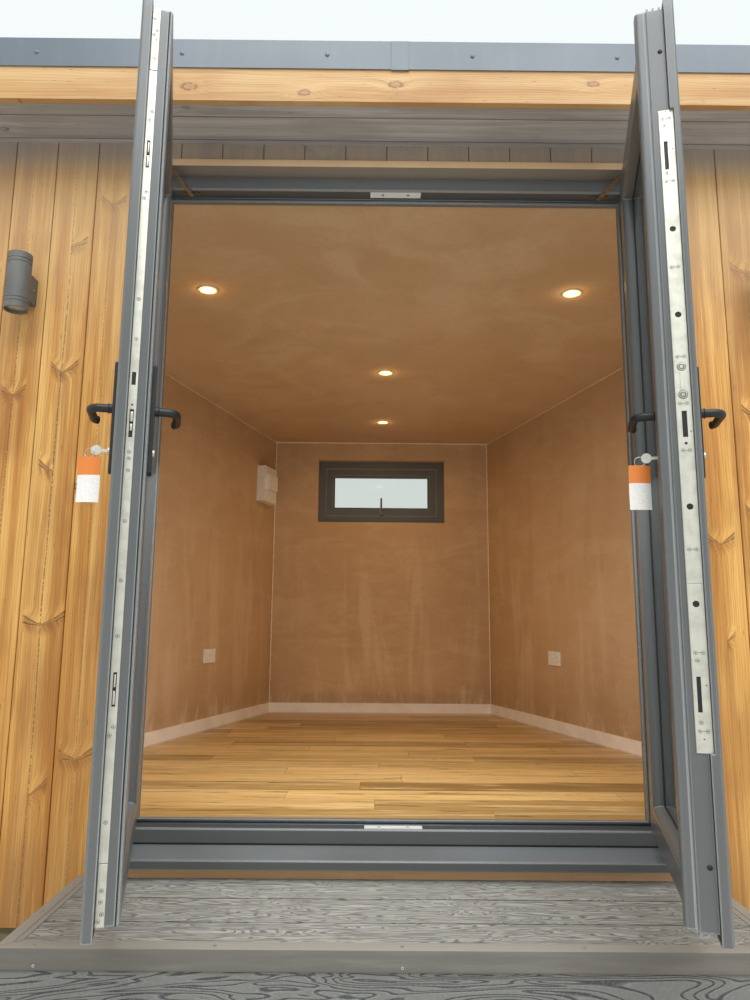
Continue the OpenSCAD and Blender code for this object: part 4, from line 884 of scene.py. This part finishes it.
# Sealed glass units. Two clear panes with a dark warm-edge spacer round them, held against the outer leg of
# the profile by clipped beads indoors. The panes mirror the sky at a flat angle.
pane = Finish("sealed_glass")
touch_marks = pane.cloud(6.0, 4.0, 0.6)
wavy = pane.bump(pane.cloud(2.0, 1.0), 0.0012, 0.25)
mirror_share = pane.node("ShaderNodeFresnel", None, {"IOR": 1.52, "Normal": wavy})
through = pane.node("ShaderNodeBsdfTransparent", None, {"Color": tone("eef1ef")})
mirror = pane.node("ShaderNodeBsdfPrincipled", None, {
    "Base Color": tone("f2f6f6"), "Metallic": 1.0, "Roughness": touch_marks.fade(0.4, 0.7, 0.01, 0.05),
    "Normal": wavy})
mixed = pane.node("ShaderNodeMixShader", None, {
    0: (mirror_share * 1.25 + touch_marks * 0.012).least(1.0), 1: through, 2: mirror})
pane.node("ShaderNodeOutputMaterial", None, {"Surface": mixed}, None)
dress(pane.material, "left_leaf_glass", "right_leaf_glass", "window_glass")
SPACER_OUT, SPACER_IN, PANE_T = 0.0975, 0.1105, 0.004
spacer_metal = mottled("glass_spacer", 500.0, ("26282a", "3a3c3e"), (0.5, 0.7), 0.0002, shade=(0.4, 0.7),
                       detail=2.0)
for side in ("left", "right"):
    spacer = bmesh.new()
    mitred(spacer, [(SPACER_OUT, GLASS_FRONT + PANE_T), (SPACER_IN, GLASS_FRONT + PANE_T),
                    (SPACER_IN, GLASS_BACK - PANE_T), (SPACER_OUT, GLASS_BACK - PANE_T)], *LEAF)
    hang(side, "glass_spacer", spacer, spacer_metal)


# Lock furniture. The left leaf has a plated strip down its edge with hooks and a latch, and the right leaf
# has the keeps they enter. Both strips are pressed steel, zinc plated, held by countersunk screws.
KEEP_HALF, KEEP_Y, KEEP_DEEP, HEAD_Z, SILL_Z = 0.1, -1.78, 0.05, 2.2, 0.35
PIVOT_IN, PIVOT_OUT, PIVOT_Y = 0.45, 0.77, -1.80
plated = Finish("zinc_plate")
roll, bloom = plated.cloud((260.0, 260.0, 5.0), 4.0, 0.6), plated.cloud(30.0, 4.0, 0.6)
pivot_plate = within(abs(plated.x), (PIVOT_IN, PIVOT_OUT)) * (abs(plated.y - PIVOT_Y) < KEEP_DEEP) * (
    plated.up > HEAD_Z)
keep_plate = (abs(plated.x) < KEEP_HALF) * (abs(plated.y - KEEP_Y) < KEEP_DEEP) * (
    (plated.up > HEAD_Z) + (plated.up < SILL_Z))
# the keep plates are paler and less metallic than the rest: partly the pale plaster dust on them, partly
# painted light on the keep under the head, which faces down
plated_colour = plated.coats(
    "ceccbe", (bloom.fade(0.4, 0.7, 0, 0.45), "a3a194"), (pivot_plate, "6e6b62"), (keep_plate, "dde0e0"))
plated.surface(plated_colour, roll.between(0.34, 0.52), plated.bump(roll, 0.0003, 0.6, 0.0006),
               {"Metallic": bloom.fade(0.5, 0.8, 0.75, 0.45) * (1.0 - keep_plate * 0.8)})
dress(plated.material, "door_frame_fittings", "left_leaf_fittings", "right_leaf_fittings", "left_key",
      "right_key")
# near-black steel, used for the stile's domed screws and, as painted shade, for the fills in slots, holes,
# joints and screw recesses
dark_steel_and_shade = mottled("dark_steel_and_painted_shade", 200.0, ("151617", "2a2b2c"), (0.4, 0.6), 0.0003, shade=None,
                     extra={"Metallic": 0.3})


def washer(bm, inner, outer, low, high, base, axis, steps):
    """Flat ring with a square edge; without an inner radius it is a disc."""
    profile = [(inner, low), (outer, low), (outer, high), (inner, high)]
    turned(bm, profile + profile[:1] if inner else profile, base, axis, steps)


screw_head = head_mesh("countersunk_screw", [
    (0.0, -0.0006), (0.0008, -0.0005), (0.0012, 0.0004), (0.0030, 0.0006), (0.0034, 0.0003), (0.0034, -0.0004)])
CROSS_LONG, CROSS_WIDE, CROSS_Z = 0.0016, 0.0004, (-0.0002, 0.0008)
# painted shade: a dark cross and rim stand for the screw's recess and the gap round its head
recess = bmesh.new()
for long, wide in ((CROSS_LONG, CROSS_WIDE), (CROSS_WIDE, CROSS_LONG)):
    box(recess, (-long, -wide, CROSS_Z[0]), (long, wide, CROSS_Z[1]))
washer(recess, 0.0034, 0.0040, -0.0002, 0.0002, (0, 0, 0), (0, 0, 1), 16)
face_out(recess)
screw_recess = bpy.data.objects.new("screw_recess", to_mesh("screw_recess", recess))


def screws(name, points, body, place):
    """Plated screws, each with a dark cross and rim: painted shade in its recess and round its head."""
    fixings(name, screw_head, points, plated.material, body, place)
    fixings(name + "_recesses", screw_recess, points, dark_steel_and_shade, body, place)


def plate(bm, middle, half, face, depth, ease=0.0):
    """Box on a strip's face: its (y, z) middle and half sizes, and its depth from and to, outwards below 0."""
    (y, z), (wide, tall), (front, back) = middle, half, depth
    box(bm, (face + front, y - wide, z - tall), (face + back, y + wide, z + tall), ease)


SPINDLE_X, SPINDLE_Z, CYLINDER_Z = 0.059, 1.324, 1.232
STRIP_FACE, STRIP_Y0, STRIP_Y1 = 0.0215, -1.8095, -1.7925
HOOKS, LATCH_Z = (SPINDLE_Z - 0.577, SPINDLE_Z + 0.577), SPINDLE_Z - 0.033
STRIP_ENDS, END_JOINTS, END_T, END_IN = ((2.109, 2.267), (0.3145, 0.426)), (2.1085, 0.4265), 0.0009, 0.0004
BOLT_BACK, SLOT_X, JOINT_HALF, OUTWARD = 0.0232, (0.0228, 0.0239), 0.0006, (-1, 0, 0)
# The tables give (height, sideways shift) for a screw, and (height, half height, half width) for a slot.
STRIP_SCREWS = (
    (2.253, 0.003), (2.240, -0.003), (2.211, 0.003), (2.199, -0.003), (2.187, 0.003), (2.139, 0.0),
    (2.006, 0.003), (1.984, -0.002), (1.810, 0.002), (1.794, -0.002), (1.560, 0.0), (1.470, 0.0), (1.225, 0.0),
    (1.211, 0.0), (1.186, 0.0), (1.080, 0.0), (0.960, 0.0), (0.850, 0.0), (0.676, 0.003), (0.660, -0.003),
    (0.500, 0.0), (0.379, 0.0), (0.359, 0.0), (0.337, 0.003), (0.325, -0.003))
BOLT_SLOTS = ((HOOKS[0], 0.0325, 0.0034), (HOOKS[1], 0.0325, 0.0034), (LATCH_Z, 0.0245, 0.0039))
FACE_SLOTS = ((1.383, 0.014, 0.0042), (1.261, 0.005, 0.0040), (1.3255, 0.0018, 0.0018))
strip_middle = (STRIP_Y0 + STRIP_Y1) / 2
strip_points = []
for z, shift in STRIP_SCREWS:
    on_end = z > STRIP_ENDS[0][0] or z < STRIP_ENDS[1][1]
    strip_points.append(((STRIP_FACE - END_T * on_end, strip_middle + shift, z), OUTWARD))
screws("left_strip_screws", strip_points, "left_leaf", hung("left"))
bolts = bmesh.new()
for low, high in STRIP_ENDS:
    box(bolts, (STRIP_FACE - END_T, STRIP_Y0 + END_IN, low), (STRIP_FACE + END_IN, STRIP_Y1 - END_IN, high),
        END_IN)
# Each bolt is two boxes of (height, front, half width, low, high, ease), low and high counted from height.
BOLT_BOXES = [(hook, *part) for hook in HOOKS for part in (
    (0.0210, 0.0020, 0.004, 0.029, 0.0012), (0.0218, 0.0023, -0.029, -0.003, 0.0006))]
BOLT_BOXES += [
    (LATCH_Z, 0.0195, 0.0030, -0.002, 0.020, 0.0016), (LATCH_Z, 0.0214, 0.0024, -0.021, -0.006, 0.0008)]
for z, front, wide, low, high, ease in BOLT_BOXES:
    box(bolts, (front, strip_middle - wide, z + low), (BOLT_BACK, strip_middle + wide, z + high), ease, 2)
hang("left", "strip_ends_and_bolts", bolts, plated.material)
# painted shade: near-black fills in the strip's slots and openings and at the joints of its end pieces
slots = bmesh.new()
for z, tall, wide in BOLT_SLOTS:
    box(slots, (SLOT_X[0], strip_middle - wide, z - tall), (SLOT_X[1], strip_middle + wide, z + tall))
for z, tall, wide in FACE_SLOTS:
    plate(slots, (strip_middle, z), (wide, tall), STRIP_FACE, (-0.0002, 0.0004))
for z in END_JOINTS:
    box(slots, (STRIP_FACE - 0.0003, STRIP_Y0 + END_IN, z - JOINT_HALF),
        (STRIP_FACE + END_IN, STRIP_Y1 - END_IN, z + JOINT_HALF))
hang("left", "strip_slots", slots, dark_steel_and_shade)

KEEP_FACE, KEEP_MIDDLE, HOLLOW_X, PAIR_APART = 0.0095, -1.8025, (0.0114, 0.0119), 0.0068
KEEP_PAIRS = (1.990, 1.839, 1.638, 1.437, 1.335, 1.235, 1.031, 0.827, 0.678)
KEEP_SINGLES, SINGLE_SHIFT = (1.974, 1.859, 0.812, 0.694), 0.004
BOLT_HOLES = (SPINDLE_Z - 0.402, SPINDLE_Z - 0.206, SPINDLE_Z + 0.206, SPINDLE_Z + 0.402)
# A pin hole is (height, shift, radius), and a keep's slot has its shift after its half width.
PIN_HOLES = ((2.008, 0.0, 0.0014), (1.250, 0.0, 0.0030), (0.663, 0.0, 0.0014), (1.915, -0.010, 0.0014),
             (1.275, -0.011, 0.0014), (0.765, -0.010, 0.0014))
KEEP_SLOTS = ((HOOKS[0], 0.0335, 0.0039, 0.004), (HOOKS[1], 0.0335, 0.0039, 0.004),
              (LATCH_Z, 0.0275, 0.0049, 0.0))
KEEP_JOINT, ROLLERS, ROLLER_BAR, RIM_SHIFT, RIM_HALF = 0.9629, (1.354, 1.415), 1.3845, 0.0146, 0.686
keep_spots = [(z, dy) for z in KEEP_PAIRS for dy in (-PAIR_APART, PAIR_APART)]
keep_spots += [(z, SINGLE_SHIFT) for z in KEEP_SINGLES]
screws("right_keep_screws", [((KEEP_FACE, KEEP_MIDDLE + dy, z), OUTWARD) for z, dy in keep_spots],
       "right_leaf", hung("right"))
# painted shade: near-black fills in the keep's slots, bolt and pin holes and joints
hollow = bmesh.new()
for z, tall, wide, dy in KEEP_SLOTS:
    middle = KEEP_MIDDLE + dy
    box(hollow, (HOLLOW_X[0], middle - wide, z - tall), (HOLLOW_X[1], middle + wide, z + tall))
for z in BOLT_HOLES:
    washer(hollow, 0.0, 0.0064, 0.0, 0.0005, (0.0113, KEEP_MIDDLE, z), (1, 0, 0), 20)
for z, dy, size in PIN_HOLES:
    washer(hollow, 0.0, size, 0.0, 0.0004, (KEEP_FACE + 0.0001, KEEP_MIDDLE + dy, z), OUTWARD, 12)
for z in KEEP_PAIRS:
    plate(hollow, (KEEP_MIDDLE, z), (0.0022, 0.0004), KEEP_FACE, (-0.0002, 0.0003))
plate(hollow, (KEEP_MIDDLE, KEEP_JOINT), (0.0150, 0.0003), KEEP_FACE, (-0.0001, 0.0003))
hang("right", "keep_recesses", hollow, dark_steel_and_shade)
ROLLER = [(0.0, 0.0), (0.0080, 0.0), (0.0080, 0.0010), (0.0062, 0.0014), (0.0058, 0.0007), (0.0040, 0.0007),
          (0.0036, 0.0013), (0.0016, 0.0013), (0.0014, 0.0003), (0.0, 0.0003)]
# painted shade: dark rings round each roller and in its groove
rollers, roller_rings = bmesh.new(), bmesh.new()
for z in ROLLERS:
    spot = (KEEP_FACE, KEEP_MIDDLE, z)
    turned(rollers, ROLLER, spot, OUTWARD, 20)
    washer(roller_rings, 0.0082, 0.0092, 0.0, 0.0004, spot, OUTWARD, 20)
    washer(roller_rings, 0.0042, 0.0056, 0.0, 0.0010, spot, OUTWARD, 20)
plate(rollers, (KEEP_MIDDLE, ROLLER_BAR), (0.004, 0.0205), KEEP_FACE, (-0.0008, 0.0002), 0.0003)
for dy in (-RIM_SHIFT, RIM_SHIFT):
    plate(rollers, (KEEP_MIDDLE + dy, SPINDLE_Z), (0.0004, RIM_HALF), KEEP_FACE, (-0.0005, 0.0002))
hang("right", "keep_rollers", rollers, plated.material)
hang("right", "keep_roller_rings", roller_rings, dark_steel_and_shade)
STILE_FACE, STILE_MIDDLE, STILE_SCREWS = 0.012, -1.7985, (2.160, 0.430)
stile_screw = head_mesh("domed_stile_screw", [
    (0.0, -0.0002), (0.0050, -0.0002), (0.0052, 0.0006), (0.0042, 0.0020), (0.0024, 0.0026), (0.0, 0.0028)])
stile_points = [((STILE_FACE, STILE_MIDDLE, z), OUTWARD) for z in STILE_SCREWS]
fixings("right_stile_screws", stile_screw, stile_points, dark_steel_and_shade, "right_leaf", hung("right"))


# Handles. Cast backplates and round lever bars, powder coated satin black, on both faces of each leaf, with
# a lock barrel below the lever.
black = Finish("black_powder_coat")
coat_grain, hand_wear = black.cloud(900.0, 2.0), black.cloud(25.0, 4.0)
black.surface(black.blend(hand_wear.fade(0.4, 0.7), "151516", "202021"), hand_wear.fade(0.35, 0.7, 0.42, 0.52),
              black.bump(coat_grain, 0.00012, 0.5, 0.001))
LEVER_BEND, LEVER_STAND, LEVER_R, PLATE_T, COLLAR_DEPTH = 0.022, 0.046, 0.009, 0.009, 0.004
LEVER_LENGTH, RETURN_BEND, RETURN_ANGLE = 0.122, 0.015, 62
GRIP_END = LEVER_LENGTH - LEVER_BEND - LEVER_R
TIP_STEP, TIP_R = 0.0006, (LEVER_R - 0.0006, LEVER_R - 0.0024)
COLLAR = [(0.0, -0.020), (0.0098, -0.020), (0.0098, 0.0068), (0.0112, 0.0072), (0.0112, 0.0088),
          (0.0096, 0.0092), (0.0, 0.0092)]


def bar(bm, centres, radii, steps):
    """Round bar through (x, y, z) centres that lie in a level plane."""
    rings, upward = [], Vector((0, 0, 1))
    for i, centre in enumerate(centres):
        before, after = Vector(centres[max(i - 1, 0)]), Vector(centres[min(i + 1, len(centres) - 1)])
        aside = upward.cross((after - before).normalized()).normalized()
        around = [aside * math.cos(angle) + upward * math.sin(angle) for angle in circle(steps)]
        rings.append([bm.verts.new(Vector(centre) + offset * radii[i]) for offset in around])
    weave(bm, rings)
    bm.faces.new(rings[0][::-1])
    bm.faces.new(rings[-1])


def lever_line(base_y, out):
    """Centres of one lever's bar, from inside its collar to its end; out is +1 indoors and -1 outdoors."""
    line = [(0.0, COLLAR_DEPTH)]
    for a in (math.radians(90 * k / 8) for k in range(9)):
        line.append((LEVER_BEND * (1 - math.cos(a)), LEVER_STAND - LEVER_BEND + LEVER_BEND * math.sin(a)))
    line += [(LEVER_BEND + (GRIP_END - LEVER_BEND) * k / 4, LEVER_STAND) for k in range(1, 4)]
    for a in (math.radians(RETURN_ANGLE * k / 7) for k in range(8)):
        line.append((GRIP_END + RETURN_BEND * math.sin(a), LEVER_STAND - RETURN_BEND * (1 - math.cos(a))))
    tip = math.radians(-RETURN_ANGLE)
    for step in (TIP_STEP, 2 * TIP_STEP):
        x, y = line[-1]
        line.append((x + step * math.cos(tip), y + step * math.sin(tip)))
    return [(SPINDLE_X + x, base_y + out * y, SPINDLE_Z) for x, y in line]


dress(black.material, "left_handle_plates", "right_handle_plates")
for side in ("left", "right"):
    levers = bmesh.new()
    for base_y, out in ((LEAF_FRONT - PLATE_T, -1), (LEAF_BACK + PLATE_T, 1)):
        line = lever_line(base_y, out)
        bar(levers, line, [LEVER_R] * (len(line) - len(TIP_R)) + list(TIP_R), 24)
        turned(levers, COLLAR, (SPINDLE_X, base_y, SPINDLE_Z), (0, out, 0), 28)
    made = hang(side, "lever_bars", levers, black.material, "lever")
    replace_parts(made, side + "_lever")


# Keys. Each barrel has its key in it, and a wire ring through the key's bow carries a plain card tag. The
# tags are a little curled and hang in front of the leaves, one outdoors and one indoors.
RING_R, WIRE_R, RING_DROP, RING_AXIS = 0.0105, 0.0008, 0.007, (0.25, 1.0, 0.0)
TAG_HALF, TAG_H, TAG_T, TAG_DROP, TAG_FRONT = 0.0235, 0.096, 0.0005, 0.0075, 0.002
TAG_COLUMNS, TAG_ROWS, CURL_ACROSS, CURL_DOWN, CURL_WAVE = 8, 14, 0.004, 0.003, 2.4
ORANGE_Z, BOW_Y = (1.1785, 1.1795), {"left": LEAF_FRONT - 0.049, "right": LEAF_BACK + 0.050}


def wire_ring(bm, centre, axis, radius, gauge, steps, round_steps):
    place = upright_to(centre, axis)
    rings = []
    for a in circle(steps):
        hub = Vector((math.cos(a), math.sin(a), 0))
        spots = [hub * (radius + gauge * math.cos(b)) + Vector((0, 0, gauge * math.sin(b)))
                 for b in circle(round_steps)]
        rings.append([bm.verts.new(place @ spot) for spot in spots])
    weave(bm, rings, loop=True)


card = Finish("card_tag")
pulp = card.cloud(300.0)
card_colour = card.coats("f1efe9", (pulp.fade(), "e2dfd7"), (card.up.fade(*ORANGE_Z), "e0823a"))
card.surface(card_colour, pulp.between(0.45, 0.6), card.bump(pulp, 0.0002))
for side, bow_y in BOW_Y.items():
    ring_centre = hung(side) @ Vector((SPINDLE_X, bow_y, CYLINDER_Z)) + Vector((0, 0, -RING_DROP))
    loop = bmesh.new()
    wire_ring(loop, ring_centre, RING_AXIS, RING_R, WIRE_R, 28, 8)
    piece(side + "_key_ring", loop, plated.material, side + "_leaf")
    tag, rims = bmesh.new(), []
    for layer in (0, 1):
        grid = []
        for v in (r / TAG_ROWS for r in range(TAG_ROWS + 1)):
            line = []
            for u in (c / TAG_COLUMNS * 2 - 1 for c in range(TAG_COLUMNS + 1)):
                curl = CURL_ACROSS * u * u + CURL_DOWN * math.sin(v * CURL_WAVE) + layer * TAG_T
                line.append(tag.verts.new((ring_centre.x + TAG_HALF * u, ring_centre.y - TAG_FRONT + curl,
                                           ring_centre.z - TAG_DROP - TAG_H * v)))
            grid.append(line)
        weave(tag, grid, ring=False)
        rims.append(grid[0][:-1] + [line[-1] for line in grid[:-1]]
                    + grid[-1][:0:-1] + [line[0] for line in grid[:0:-1]])
    weave(tag, rims)
    piece(side + "_key_tag", tag, card.material, side + "_leaf")


# Restrictor arms. A flat steel bar with a yellow passivated coat holds each leaf open; one end turns on a
# rivet under the frame's head, and the other slides along a track on top of the leaf.
passivated = mottled("passivated_steel", 40.0, ("978e7a", "776f5f"), (0.35, 0.5), 0.0003, 0.6, 0.0006,
                     (0.35, 0.7), 4.0, extra={"Metallic": 0.7})
dress(passivated, "left_restrictor_arm", "right_restrictor_arm")


# Room fittings. White moulded sockets and a consumer unit stand on the plaster, and four downlights with
# white rims are let into the ceiling. Their lamps are on, with a warm light.
white = mottled("white_moulding", 60.0, ("ece9e2", "dfdad0"), (0.28, 0.4), 0.0002, 0.5, 0.0015, detail=2.0,
                extra={"Coat Weight": 0.2})
dress(white, "electrical_fittings", "downlights")
LAMPS = [(-0.780, -1.045), (0.780, -1.045), (0.0, 0.005), (0.0, 1.055)]
LENS_Z = CEILING + 0.0039
LENS = [(0.0, 0.0), (0.0286, 0.0), (0.0286, 0.0035), (0.020, 0.0049), (0.010, 0.0056), (0.0, 0.0058)]
glow = Finish("warm_lens")
prism = glow.cloud(700.0, 1.0)
glow.surface(glow.blend(prism, "fff1d6", "ffe2b0"), prism.between(0.2, 0.35), None, {
    "Emission Color": glow.blend(prism.fade(), "ffcf85", "ffb44f"), "Emission Strength": 1.9})
lenses = bmesh.new()
for x, y in LAMPS:
    turned(lenses, LENS, (x, y, LENS_Z), (0, 0, -1), 32)
piece("downlight_lenses", lenses, glow.material, "pod")


# Wall lights. Turned aluminium tubes, coated fine-textured charcoal, throw light up and down; each has a
# frosted lens recessed in both ends, and a bracket with a small screw in each side.
LIGHT_X, LIGHT_Y, LIGHT_Z, BRACKET_HALF, BRACKET_Y = 1.140, -1.945, 1.885, 0.022, -1.889
TUBE_HALF, LENS_IN = 0.088, 0.0121
LENS_UP = TUBE_HALF - LENS_IN
FROSTED_LENS = [(0.0, 0.0), (0.0305, 0.0), (0.0305, 0.0012), (0.020, 0.0034), (0.0, 0.0046)]
dress(mottled("charcoal_texture_coat", 12.0, ("666662", "74736d"), (0.5, 0.62), 0.0003, 0.6, 0.0008, (0.4, 0.7),
              relief=(1400.0, 2.0)), "wall_lights")
frosted = mottled("frosted_lens", 90.0, ("b7a98e", "9d8f76"), (0.25, 0.4), 0.0004, shade=None, detail=2.0,
                  extra={"Coat Weight": 0.5})
wall_lenses, bracket_screws = bmesh.new(), []
for side in (-1, 1):
    for end in (-1, 1):
        turned(wall_lenses, FROSTED_LENS, (side * LIGHT_X, LIGHT_Y, LIGHT_Z + end * LENS_UP), (0, 0, end), 32)
        bracket_screws.append(((side * LIGHT_X + end * BRACKET_HALF, BRACKET_Y, LIGHT_Z), (end, 0, 0)))
piece("wall_light_lenses", wall_lenses, frosted, "pod")
pan_head = head_mesh("pan_head_screw", [
    (0.0, 0.0006), (0.0007, 0.0007), (0.0010, 0.0018), (0.0020, 0.0016), (0.0028, 0.0007), (0.0028, -0.0002)])
fixings("wall_light_screws", pan_head, bracket_screws, plated.material, "pod")


# Step. Grey wood-plastic boards, embossed with a deep grain, lie on a timber frame with a gap between them;
# smooth angle trim covers the front and side arrises, and a board with a wavy grain makes the riser.
STEP_HALF, STEP_FRONT, STEP_TOP = 0.870, -2.330, 0.190
DECK_FIRST, DECK_COVER, RINGS = -2.327, 0.1547, 17.0
deck = Finish("grey_composite_boards")
x, y, up = deck.x, deck.y, deck.up
row = ((y - DECK_FIRST) / DECK_COVER).floor()
wander = deck.cloud_at(x * 5.0 + row * 7.0, y * 30.0, up * 30.0 + row, 1.0)
groove = deck.cloud_at(x * 15.0 + row * 9.0, y * 170.0 + wander * 6.0, up * 60.0 + row, 3.0, 0.6, 0.8)
growth = deck.cloud_at(x * 3.2 + row * 3.0, y * 26.0, up * 26.0 + row * 2.0, 2.0, 0.45, 0.7) * RINGS
lines = abs(growth % 1.0 - 0.5).fade(0.16, 0.04)
ridge = abs((growth + 0.3) % 1.0 - 0.5).fade(0.20, 0.06)
deck_colour = deck.coats(
    "868680", (groove.fade(0.36, 0.62), "a3a39c"),
    (ridge * 0.35, "bdbdb7"),
    (lines * groove.fade(0.30, 0.55, 0.35, 0.8), "53544f"))
deck.surface(deck_colour, groove.between(0.5, 0.7), deck.bump(groove * 0.5 - lines + ridge * 0.3, 0.0016, 0.8))
dress(deck.material, "step_boards")

WAVES = 120.0
riser = Finish("grey_composite_riser")
flow = riser.cloud_at(riser.x * 1.5 + riser.y * 1.5, riser.y * 1.0, riser.up * 11.0, 2.0, 0.5, 1.6)
phase = (flow * WAVES + riser.up * WAVES).sine() * 0.5 + 0.5
trough, chip = phase ** 6.0, riser.cloud(160.0)
riser_colour = riser.coats(
    "7f7f7a", (phase.fade(0.45, 0.7) * phase.fade(0.9, 0.72) * 0.5, "a09f99"),
    (trough, "4a4b49"),
    (chip.fade(0.45, 0.7, 0, 0.3), "9a9a95"))
riser.surface(riser_colour, trough.fade(0.2, 0.8, 0.55, 0.75), riser.bump(chip * 0.3 - trough, 0.003, 0.9))
dress(riser.material, "step_risers")

taupe = Finish("taupe_angle_trim")
scuff, grit = taupe.cloud((5.0, 60.0, 60.0), 4.0, 0.6), taupe.cloud(500.0, 2.0)
TRIM_FOOT = (0.150, 0.146)
mitre_line = abs((STEP_HALF - abs(taupe.x)) - (taupe.y - STEP_FRONT)).fade(0.0016, 0.0004)
taupe_colour = taupe.coats(
    "6e6962", (scuff.fade(0.4, 0.7), "7b776e"),
    # painted light: faces that face up are paler than the trim's front and sides
    (taupe.apart(taupe.facing())[2].fade(0.3, 0.9), "97938a"),
    (mitre_line * 0.8, "3b3935"),
    (taupe.up.fade(*TRIM_FOOT, 0, 0.4), "54514b"))
taupe.surface(taupe_colour, scuff.between(0.5, 0.66), taupe.bump(scuff * 0.4 + grit * 0.4, 0.0006, 0.6, 0.002))
angle_section = [(0.0, 0.145), (0.0, 0.1868), (0.0010, 0.1890), (0.0032, STEP_TOP), (0.0300, STEP_TOP),
                 (0.0306, 0.1890), (0.0316, 0.1890), (0.0440, 0.1880), (0.0450, 0.1870), (0.0030, 0.1870),
                 (0.0030, 0.145)]
edging = bmesh.new()
rows = []
for a, z in angle_section:
    side_x, front_y = STEP_HALF - a, STEP_FRONT + a
    path = ((-side_x, FRONT, z), (-side_x, front_y, z), (side_x, front_y, z), (side_x, FRONT, z))
    rows.append([edging.verts.new(spot) for spot in path])
weave(edging, rows, loop=True, ring=False)
for end in (0, -1):
    edging.faces.new([row[end] for row in rows])
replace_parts(piece("step_angle_trim", edging, taupe.material, "pod", smooth=30.0),
            "step_edging")
FRONT_SCREWS_X, FRONT_SCREW_Z = (-0.781, 0.781, 0.005), 0.1547
TOP_SCREWS_X, TOP_SCREW_Y = (-0.79, -0.40, 0.005, 0.40, 0.79), -2.312
SIDE_SCREW_X, SIDE_SCREWS_Y = 0.853, (-2.12, -1.93)
step_points = [((x, STEP_FRONT, FRONT_SCREW_Z), (0, -1, 0)) for x in FRONT_SCREWS_X]
step_points += [((x, TOP_SCREW_Y, STEP_TOP), (0, 0, 1)) for x in TOP_SCREWS_X]
step_points += [((side * SIDE_SCREW_X, y, STEP_TOP), (0, 0, 1)) for side in (-1, 1) for y in SIDE_SCREWS_Y]
screws("step_trim_screws", step_points, "pod", None)


# Studio. A plain pale floor and an even pale surround, with one wide soft lamp above the camera and soft
# lamps in the room that stand for its own lights; the camera sees none of the lamps.
FLOOR_HALF, FLOOR_DROP = 14.0, 0.0015
ground = Finish("studio_floor")
ground.surface(ground.blend(ground.cloud(3.0, 2.0), "dcdcda", "d6d6d4"), 0.85)
plain = bmesh.new()
bmesh.ops.create_grid(plain, x_segments=1, y_segments=1, size=FLOOR_HALF)
studio_floor = add_object("studio_floor", to_mesh("studio_floor", plain))
studio_floor.data.materials.append(ground.material)
studio_floor.location.z = -FLOOR_DROP


def soft_lamp(name, place, aim, energy, colour, size, kind="AREA", **settings):
    """Lamp at a place, aimed at a point: a rectangle of two sizes, a disk of one, or a small ball."""
    lamp = bpy.data.lights.new(name, kind)
    lamp.energy, lamp.color = energy, colour
    if kind == "POINT":
        lamp.shadow_soft_size = size
    elif isinstance(size, tuple):
        lamp.shape, lamp.size, lamp.size_y = "RECTANGLE", *size
    else:
        lamp.shape, lamp.size = "DISK", size
    for key, value in settings.items():
        setattr(lamp, key, value)
    made = add_object(name, lamp)
    made.location = place
    made.rotation_mode = "QUATERNION"
    made.rotation_quaternion = (Vector(aim) - Vector(place)).to_track_quat("-Z", "Y")
    made.visible_camera = False
    made.visible_glossy = kind == "AREA" and energy > MIRRORED


MIRRORED, SPREAD = 100.0, math.radians(165)
soft_lamp("sky_panel", (1.0, -6.5, 8.0), (0, -1.7, 1.0), 740.0, (0.97, 0.985, 1.0), (8.0, 6.0))
soft_lamp("ground_bounce", (0, -3.2, 0.25), (0, -3.2, 2.4), 11.0, (0.97, 1.0, 0.98), (3.4, 1.3))
soft_lamp("doorway_day", (0, -1.60, 1.45), (0, -1.0, 0.1), 12.0, (0.94, 0.98, 1.0), (1.4, 1.2))
soft_lamp("low_fill", (0, -1.2, 0.75), (0, 1.6, 0.25), 2.6, (0.94, 0.97, 1.0), (1.5, 0.5))
soft_lamp("ceiling_bounce", (0, -1.2, 0.35), (0, -1.0, 3.0), 9.0, (0.70, 0.92, 1.0), (2.4, 0.8))
for k, ((x, y), energy) in enumerate(zip(LAMPS, (1.4, 1.4, 2.2, 3.0))):
    below, warm = (x, y, 0), (1.0, 0.70, 0.36)
    soft_lamp(f"downlight_glow_{k}", (x, y, CEILING - 0.03), below, energy, warm, 0.16, spread=SPREAD)
    soft_lamp(f"downlight_halo_{k}", (x, y, CEILING - 0.022), below, 0.22, (1.0, 0.62, 0.24), 0.008, "POINT")
soft_lamp("room_warmth", (0, 0.6, 0.35), (0, 0.6, 3.0), 3.0, (1.0, 0.74, 0.40), (1.3, 2.0))

surround = bpy.data.worlds.new("studio_surround")
bpy.context.scene.world = surround
surround.use_nodes = True
sky = Tree(surround.node_tree)
sky.nodes.clear()
rays = sky.node("ShaderNodeLightPath", out=None).outputs
camera_ray, glossy_ray, through_ray = (
    Wire(sky, rays[f"Is {kind} Ray"]) for kind in ("Camera", "Glossy", "Transmission"))
lighting = sky.node("ShaderNodeBackground", None, {"Color": (0.94, 0.97, 1.0, 1.0), "Strength": 0.56})
backdrop = sky.node("ShaderNodeBackground", None, {"Color": (0.92, 0.975, 0.975, 1.0), "Strength": 1.0})
both = sky.node("ShaderNodeMixShader", None, {
    0: camera_ray.most(glossy_ray).most(through_ray), 1: lighting, 2: backdrop})
sky.node("ShaderNodeOutputWorld", None, {"Surface": both}, None)
